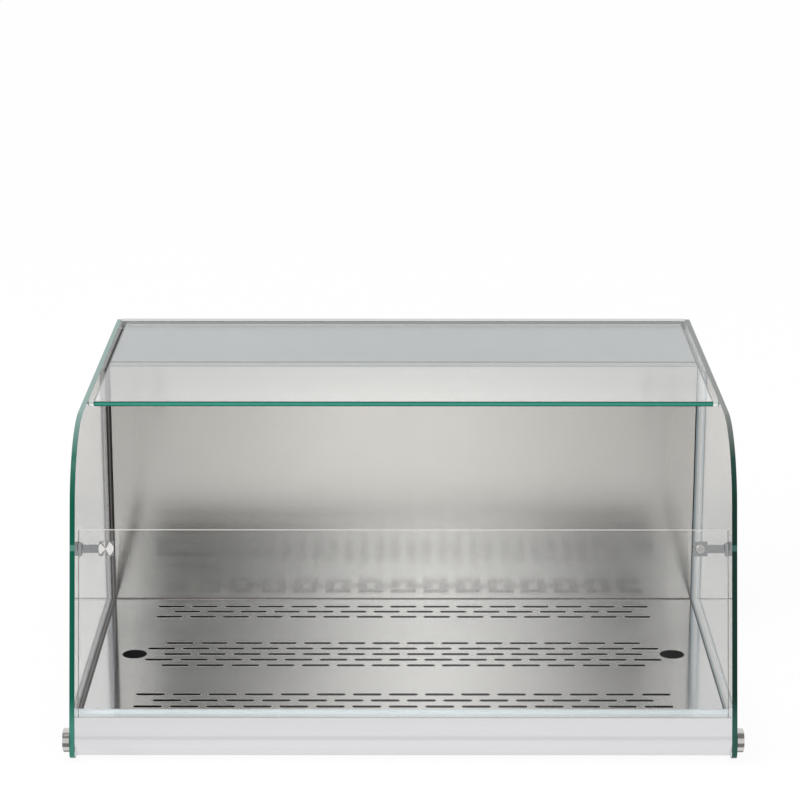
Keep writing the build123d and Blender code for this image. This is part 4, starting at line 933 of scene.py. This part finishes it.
def box_piece(name, low, high, finish, body="case"):
    """A closed box between two corners, for bands that are straight."""
    picks = np.array([[i & 1, (i >> 1) & 1, (i >> 2) & 1] for i in range(8)])
    vertices = np.where(picks == 1, np.array(high, float), np.array(low, float))
    faces = np.array(
        [[0, 2, 3, 1], [4, 5, 7, 6], [0, 1, 5, 4], [2, 6, 7, 3], [0, 4, 6, 2], [1, 3, 7, 5]]
    )
    return mesh_piece(name, vertices, faces, finish, body)


def pane_edge_finish():
    """Teal that is brightest half way up the edge: 1 - |z - middle| / half the thickness."""
    material, tree, _ = new_material(
        "top_glass_edge", Roughness=0.12, IOR=1.52, Specular_IOR_Level=0.2
    )
    z = place_of(tree)[2]
    middle = (pane_top + pane_bottom) / 2
    away = math_node(tree, "ABSOLUTE", math_node(tree, "SUBTRACT", z, middle))
    centre = ramp(tree, away, 0.0022, 0.0008)
    points = object_points(tree)
    streaks = place_group(tree, grain_group, Vector=points, Stretch=(9, 300, 300))
    tone = mix_colour(tree, centre, (0.012, 0.20, 0.135), (0.05, 0.42, 0.31))
    dark = mix_colour(tree, 0.25, tone, (0.0, 0.1, 0.07))
    tone = mix_colour(tree, streaks.outputs["Cloud"], dark, tone)
    return surfaced(material, tone, ramp(tree, streaks.outputs["Streak"], 0.3, 0.7, 0.08, 0.16))


pane_edge = pane_edge_finish()
for name, y_low, y_high in (
    ("top_glass_edge_front", pane_front - skin, pane_front),
    ("top_glass_edge_rear", rear_band_front, rear_band_rear),
):
    rear = name.endswith("rear")
    low_z = pane_top if rear else pane_bottom + chamfer
    high_z = pane_top + skin if rear else pane_top - chamfer
    box_piece(
        name,
        (chamfer - pane_half, y_low, low_z),
        (pane_half - chamfer, y_high, high_z),
        pane_edge,
    )
print("pane bands:", 2)


# %% Line the panel's bevels
panel_setback, panel_bevel = 0.005, 0.0008
panel_half = inner_half - 0.0035
panel_foot, panel_top = -0.0077, 0.2193


def bevel_finish(name, low, high):
    """A bevel: clear plastic mottled between two colours that are its painted highlight or painted
    shade.
    """
    material, tree, _ = new_material(name, IOR=1.49, Roughness=0.25)
    points = object_points(tree)
    streaks = place_group(tree, grain_group, Vector=points, Stretch=(20, 60, 60))
    tone = mix_colour(tree, streaks.outputs["Cloud"], low, high)
    return surfaced(material, tone, ramp(tree, streaks.outputs["Streak"], 0.3, 0.7, 0.2, 0.35))


def bevel_strip(name, ends, inward, paint):
    """A thin strip on a bevel. It runs between two ends (x, rise) and steps inward by the
    bevel along (dx, drise), while the setback grows by the same amount."""
    rows = []
    for x, rise in ends:
        for share, lift in ((0.05, 0.0), (0.95, 0.0), (0.95, skin), (0.05, skin)):
            step = panel_bevel * share
            across_x = x - inward[0] * step
            across_rise = rise - inward[1] * step
            setback = panel_setback + step - lift
            y, z = leaning_point(setback, across_rise)
            rows.append((across_x, y, z))
    vertices = np.array(rows).reshape(2, 4, 3)
    faces = np.vstack([grid_faces(2, 4, False, True), [[3, 2, 1, 0]], [[4, 5, 6, 7]]])
    return mesh_piece(name, vertices, faces, paint, "removable_panel")


# Painted highlight on the top bevel, and painted shade on the side bevels.
top_bevel_highlight = bevel_finish("panel_top_bevel_highlight", (0.74, 0.68, 0.64), (0.95, 0.90, 0.87))
side_bevel_shade = bevel_finish("panel_side_bevel_shade", (0.20, 0.17, 0.15), (0.34, 0.30, 0.28))
rim_x, rim_top = panel_half - panel_bevel, panel_top - panel_bevel
bevel_strip("panel_bevel_top", ((-rim_x, rim_top), (rim_x, rim_top)), (0, -1), top_bevel_highlight)
bevel_strip("panel_bevel_left", ((-rim_x, panel_foot), (-rim_x, rim_top)), (1, 0), side_bevel_shade)
bevel_strip("panel_bevel_right", ((rim_x, panel_foot), (rim_x, rim_top)), (-1, 0), side_bevel_shade)
print("bevel strips:", 3)

# %% [markdown]
# ## Lines on the floor
#
# Around each punched slot a dark ring is painted shade, where the edge falls away, and a
# pale ring round it is a painted highlight of the rim. Where the floor meets the wall, a
# dark strip is painted shade in the gap, and a pale strip below it is a painted highlight
# on the bent edge. A rim is a flat ring: the outline of a slot, which is two straight runs
# and two half circles, drawn twice. All slots repeat one ring, so the arrays of the ring
# are only moved to each place.

# %% Ring the slots
floor_half, floor_front, floor_rear = 0.3722, -0.288, 0.098
slot_length, slot_width, slot_pitch, row_pitch = 0.0335, 0.006, 0.0426, 0.019
slots_in_long_row = 15
middle_row = (floor_front + floor_rear) / 2 - 0.0075
group_pitch = (floor_rear - floor_front) / 2 - 0.041
shade_width, rim_width = 0.0005, 0.0011


def slot_outline(grow, steps=8):
    """A slot's outline: x = half length plus r cos(t), y = r sin(t), and its mirror image."""
    radius = slot_width / 2 + grow
    reach = slot_length / 2 - slot_width / 2
    t = np.linspace(-math.pi / 2, math.pi / 2, steps)
    right = np.stack([reach + radius * np.cos(t), radius * np.sin(t)], axis=1)
    return np.vstack([right, -right])


def slot_centres():
    """Centres of all slots: groups of three, five and three rows, long and short in turn."""
    centres = []
    for group, count in ((1, 3), (0, 5), (-1, 3)):
        for index in range(count):
            y = middle_row + group * group_pitch + (index - (count - 1) / 2) * row_pitch
            slots = slots_in_long_row - (index + (count == 5)) % 2
            x = (np.arange(slots) - (slots - 1) / 2) * slot_pitch
            centres.append(np.stack([x, np.full(slots, y)], axis=1))
    return np.vstack(centres)


def slot_rings(inner_grow, outer_grow):
    """Thin closed rings round the slots. A ring's section has four corners."""
    inner, outer = slot_outline(inner_grow), slot_outline(outer_grow)
    level = floor_top + np.array([0.0, skin, skin, 0.0])
    flat = np.stack([inner, inner, outer, outer], axis=1)
    heights = np.broadcast_to(level[None, :, None], (len(inner), 4, 1))
    ring = np.concatenate([flat, heights], axis=2)
    centres = slot_centres()
    shift = np.hstack([centres, np.zeros((len(centres), 1))])
    vertices = ring[None] + shift[:, None, None, :]
    quads = grid_faces(len(inner), 4, True, True)
    steps = np.arange(len(centres))[:, None, None] * (len(inner) * 4)
    return vertices, (quads[None] + steps).reshape(-1, 4)


# Painted shade on the dark rings inside, and painted highlight on the pale rims round them.
rim_highlight_finish = steel_finish("slot_rim_highlights", (0.95, 0.94, 0.93), 0.35, (200, 200, 200), 0.1)
shade_finish = moulded_finish("rounded_edge_shade", (0.02, 0.018, 0.018), 0.5)
mesh_piece("slot_edges", *slot_rings(0.0, shade_width), shade_finish, "floor")
rims = mesh_piece("slot_rims", *slot_rings(shade_width, rim_width), rim_highlight_finish, "floor")
print("slots ringed:", len(slot_centres()), "quads:", len(rims.data.polygons))

# %% Line the joint of floor and wall
gap_low, gap_high, bend_front, bend_rear = 0.0003, 0.0015, 0.0036, 0.0006
# Painted shade: a dark strip in the joint of floor and wall; below it, a painted highlight strip on
# the floor's bent edge.
gap_shade_finish = moulded_finish("joint_shadow", (0.10, 0.08, 0.07), 0.7)
box_piece(
    "wall_joint_line",
    (-floor_half, floor_rear - skin, floor_top + gap_low),
    (floor_half, floor_rear, floor_top + gap_high),
    gap_shade_finish,
)
box_piece(
    "floor_rear_bend",
    (-floor_half, floor_rear - bend_front, floor_top),
    (floor_half, floor_rear - bend_rear, floor_top + skin),
    rim_highlight_finish,
    "floor",
)
print("joint lined")

# %% [markdown]
# ## Marks on the back
#
# The controller shows the temperature in seven-segment digits. Each digit is a set of
# small bars out of seven, so a table of which bars a digit lights is all that is needed.
# Seen from behind, X runs to the left.

# %% Light the display
cover_back, control_height = half_depth - 0.0058, top_height - 0.069
controller_inset, display_shift, display_proud = 0.1102, 0.014, 0.0023
display_x = controller_inset - floor_half + display_shift
display_y = cover_back + display_proud
digit_tall, digit_wide, digit_pitch, bar = 0.0095, 0.0052, 0.0085, 0.0011
bars = {
    "a": (0, 1, 1, 0), "b": (1, 0.5, 0, 1), "c": (1, -0.5, 0, 1), "d": (0, -1, 1, 0),
    "e": (-1, -0.5, 0, 1), "f": (-1, 0.5, 0, 1), "g": (0, 0, 1, 0),
}
shapes = {"0": "abcdef", "4": "bcfg", "C": "adef"}


def digit_finish():
    """Lit bars: a red glow that varies a little from place to place."""
    material, tree, shader = new_material("display_digits", Base_Color=(0.3, 0.01, 0.01))
    noise = place_group(tree, moulding_group, Vector=object_points(tree), Scale=900.0)
    tone = mix_colour(tree, noise.outputs["Tone"], (0.9, 0.03, 0.015), (1.0, 0.09, 0.04))
    tree.links.new(tone, shader.inputs["Emission Color"])
    shader.inputs["Emission Strength"].default_value = 1.0
    return material


lit = digit_finish()
for place, sign in enumerate("40C"):
    centre = display_x + (1 - place) * digit_pitch
    for letter in shapes[sign]:
        side, level, across_bar, along_bar = bars[letter]
        x = centre - side * digit_wide / 2
        z = control_height + level * digit_tall / 2
        half_x = digit_wide / 2 - bar if across_bar else bar / 2
        half_z = digit_tall / 4 - bar * 0.6 if along_bar else bar / 2
        box_piece(
            f"display_{place}_{letter}",
            (x - half_x, display_y, z - half_z),
            (x + half_x, display_y + skin, z + half_z),
            lit,
        )
print("digits lit:", 3)

# %% [markdown]
# ## The stage
#
# The case stands on a plain white ground in a white room. The ground is pure white to the
# camera and to mirrors, and an ordinary pale surface to everything else, so it keeps a
# soft shadow and lights the case from below as paper would. Two cards hang where only
# mirrors see them. One is the dim room behind the camera with a lamp's glow in its middle,
# the other the sheen on the table: steel looks like steel only if what it mirrors varies.


# %% Lay the ground
def plane_piece(name, corners, finish):
    """A flat four-sided sheet of the stage."""
    mesh = bpy.data.meshes.new(name)
    mesh.from_pydata([tuple(c) for c in corners], [], [(0, 1, 2, 3)])
    mesh.materials.append(finish)
    sheet = bpy.data.objects.new(name, mesh)
    bpy.context.scene.collection.objects.link(sheet)
    return sheet


def seen_rays(tree):
    """One on rays from the camera, from mirrors and through glass, and zero on the rest."""
    path = tree.nodes.new("ShaderNodeLightPath")
    seen = math_node(tree, "MAXIMUM", path.outputs["Is Camera Ray"], path.outputs["Is Glossy Ray"])
    return math_node(tree, "MAXIMUM", seen, path.outputs["Is Transmission Ray"])


def ground_finish():
    """White to the camera and to mirrors, with a share of ordinary shading for the shadow."""
    material, tree, shader = new_material(
        "ground_paper", Base_Color=(0.86, 0.86, 0.86), Roughness=0.9, Specular_IOR_Level=0.1
    )
    glow = add_node(tree, "ShaderNodeEmission", Strength=1.04)
    choice = tree.nodes.new("ShaderNodeMixShader")
    tree.links.new(math_node(tree, "MULTIPLY", seen_rays(tree), 0.88), choice.inputs[0])
    tree.links.new(shader.outputs[0], choice.inputs[1])
    tree.links.new(glow.outputs[0], choice.inputs[2])
    tree.links.new(choice.outputs[0], tree.nodes["Material Output"].inputs[0])
    return material


plane_piece("ground", [(-8, -8, 0), (8, -8, 0), (8, 8, 0), (-8, 8, 0)], ground_finish())
print("ground laid")


# %% Hang the cards
def card_finish(name, low, high, middle_x, spread):
    """A glowing card. Its level is low plus the rest times exp(-((x - middle) / spread)^2)."""
    material, tree, shader = new_material(name, Base_Color=(0.0, 0.0, 0.0), Roughness=1.0)
    x = place_of(tree)[0]
    away = math_node(tree, "DIVIDE", math_node(tree, "SUBTRACT", x, middle_x), spread)
    fall = math_node(tree, "MULTIPLY", math_node(tree, "MULTIPLY", away, away), -1.0)
    level = math_node(tree, "MULTIPLY", math_node(tree, "EXPONENT", fall), high - low)
    level = math_node(tree, "ADD", level, low)
    tree.links.new(level, shader.inputs["Emission Color"])
    shader.inputs["Emission Strength"].default_value = 1.0
    return material


def mirror_card(name, corners, finish):
    """A card that only mirrors see."""
    card = plane_piece(name, corners, finish)
    card.visible_camera = False
    card.visible_diffuse = False
    card.visible_shadow = False
    return card


room_y, room_half, room_low, room_high = -3.6, 0.69, 0.55, 1.95
mirror_card(
    "room_behind_camera",
    [
        (room_half, room_y, room_low), (-room_half, room_y, room_low),
        (-room_half, room_y, room_high), (room_half, room_y, room_high),
    ],
    card_finish("room_glow", 0.08, 1.12, 0.09, 0.43),
)
table_half, table_front, table_back = 0.65, -1.7, -0.5
mirror_card(
    "table_sheen",
    [
        (-table_half, table_front, 0.001), (table_half, table_front, 0.001),
        (table_half, table_back, 0.001), (-table_half, table_back, 0.001),
    ],
    card_finish("table_glow", 0.66, 0.98, 0.03, 0.34),
)
print("cards hung")

# %% [markdown]
# ## The light
#
# A product picture like this one is lit from all round by large soft sources. A white
# world does most of it. A broad lamp overhead and to the left gives the top light that
# makes the left edge brighter than the right one.

# %% Set the world and the lamps
world = bpy.data.worlds.new("room")
world.use_nodes = True
bpy.context.scene.world = world
world_tree = world.node_tree
world_level = ramp(world_tree, seen_rays(world_tree), 0.0, 1.0, 0.72, 1.0)
background = world_tree.nodes["Background"]
background.inputs[0].default_value = (1.0, 1.0, 1.0, 1.0)
world_tree.links.new(world_level, background.inputs[1])


def area_lamp(name, place, aim, size, power):
    """A square soft lamp at a place, facing a point."""
    data = bpy.data.lights.new(name, "AREA")
    data.shape = "SQUARE"
    data.size = size
    data.energy = power
    lamp = bpy.data.objects.new(name, data)
    bpy.context.scene.collection.objects.link(lamp)
    lamp.location = place
    direction = np.array(aim, float) - np.array(place, float)
    flat = math.hypot(direction[0], direction[1])
    tilt = math.atan2(flat, -direction[2])
    heading = math.atan2(direction[1], direction[0]) - math.pi / 2
    lamp.rotation_euler = (tilt, 0.0, heading)
    lamp.visible_camera = False
    return lamp


area_lamp("overhead_left", (-1.4, -1.2, 2.2), (0.0, 0.0, 0.1), 1.6, 18.0)
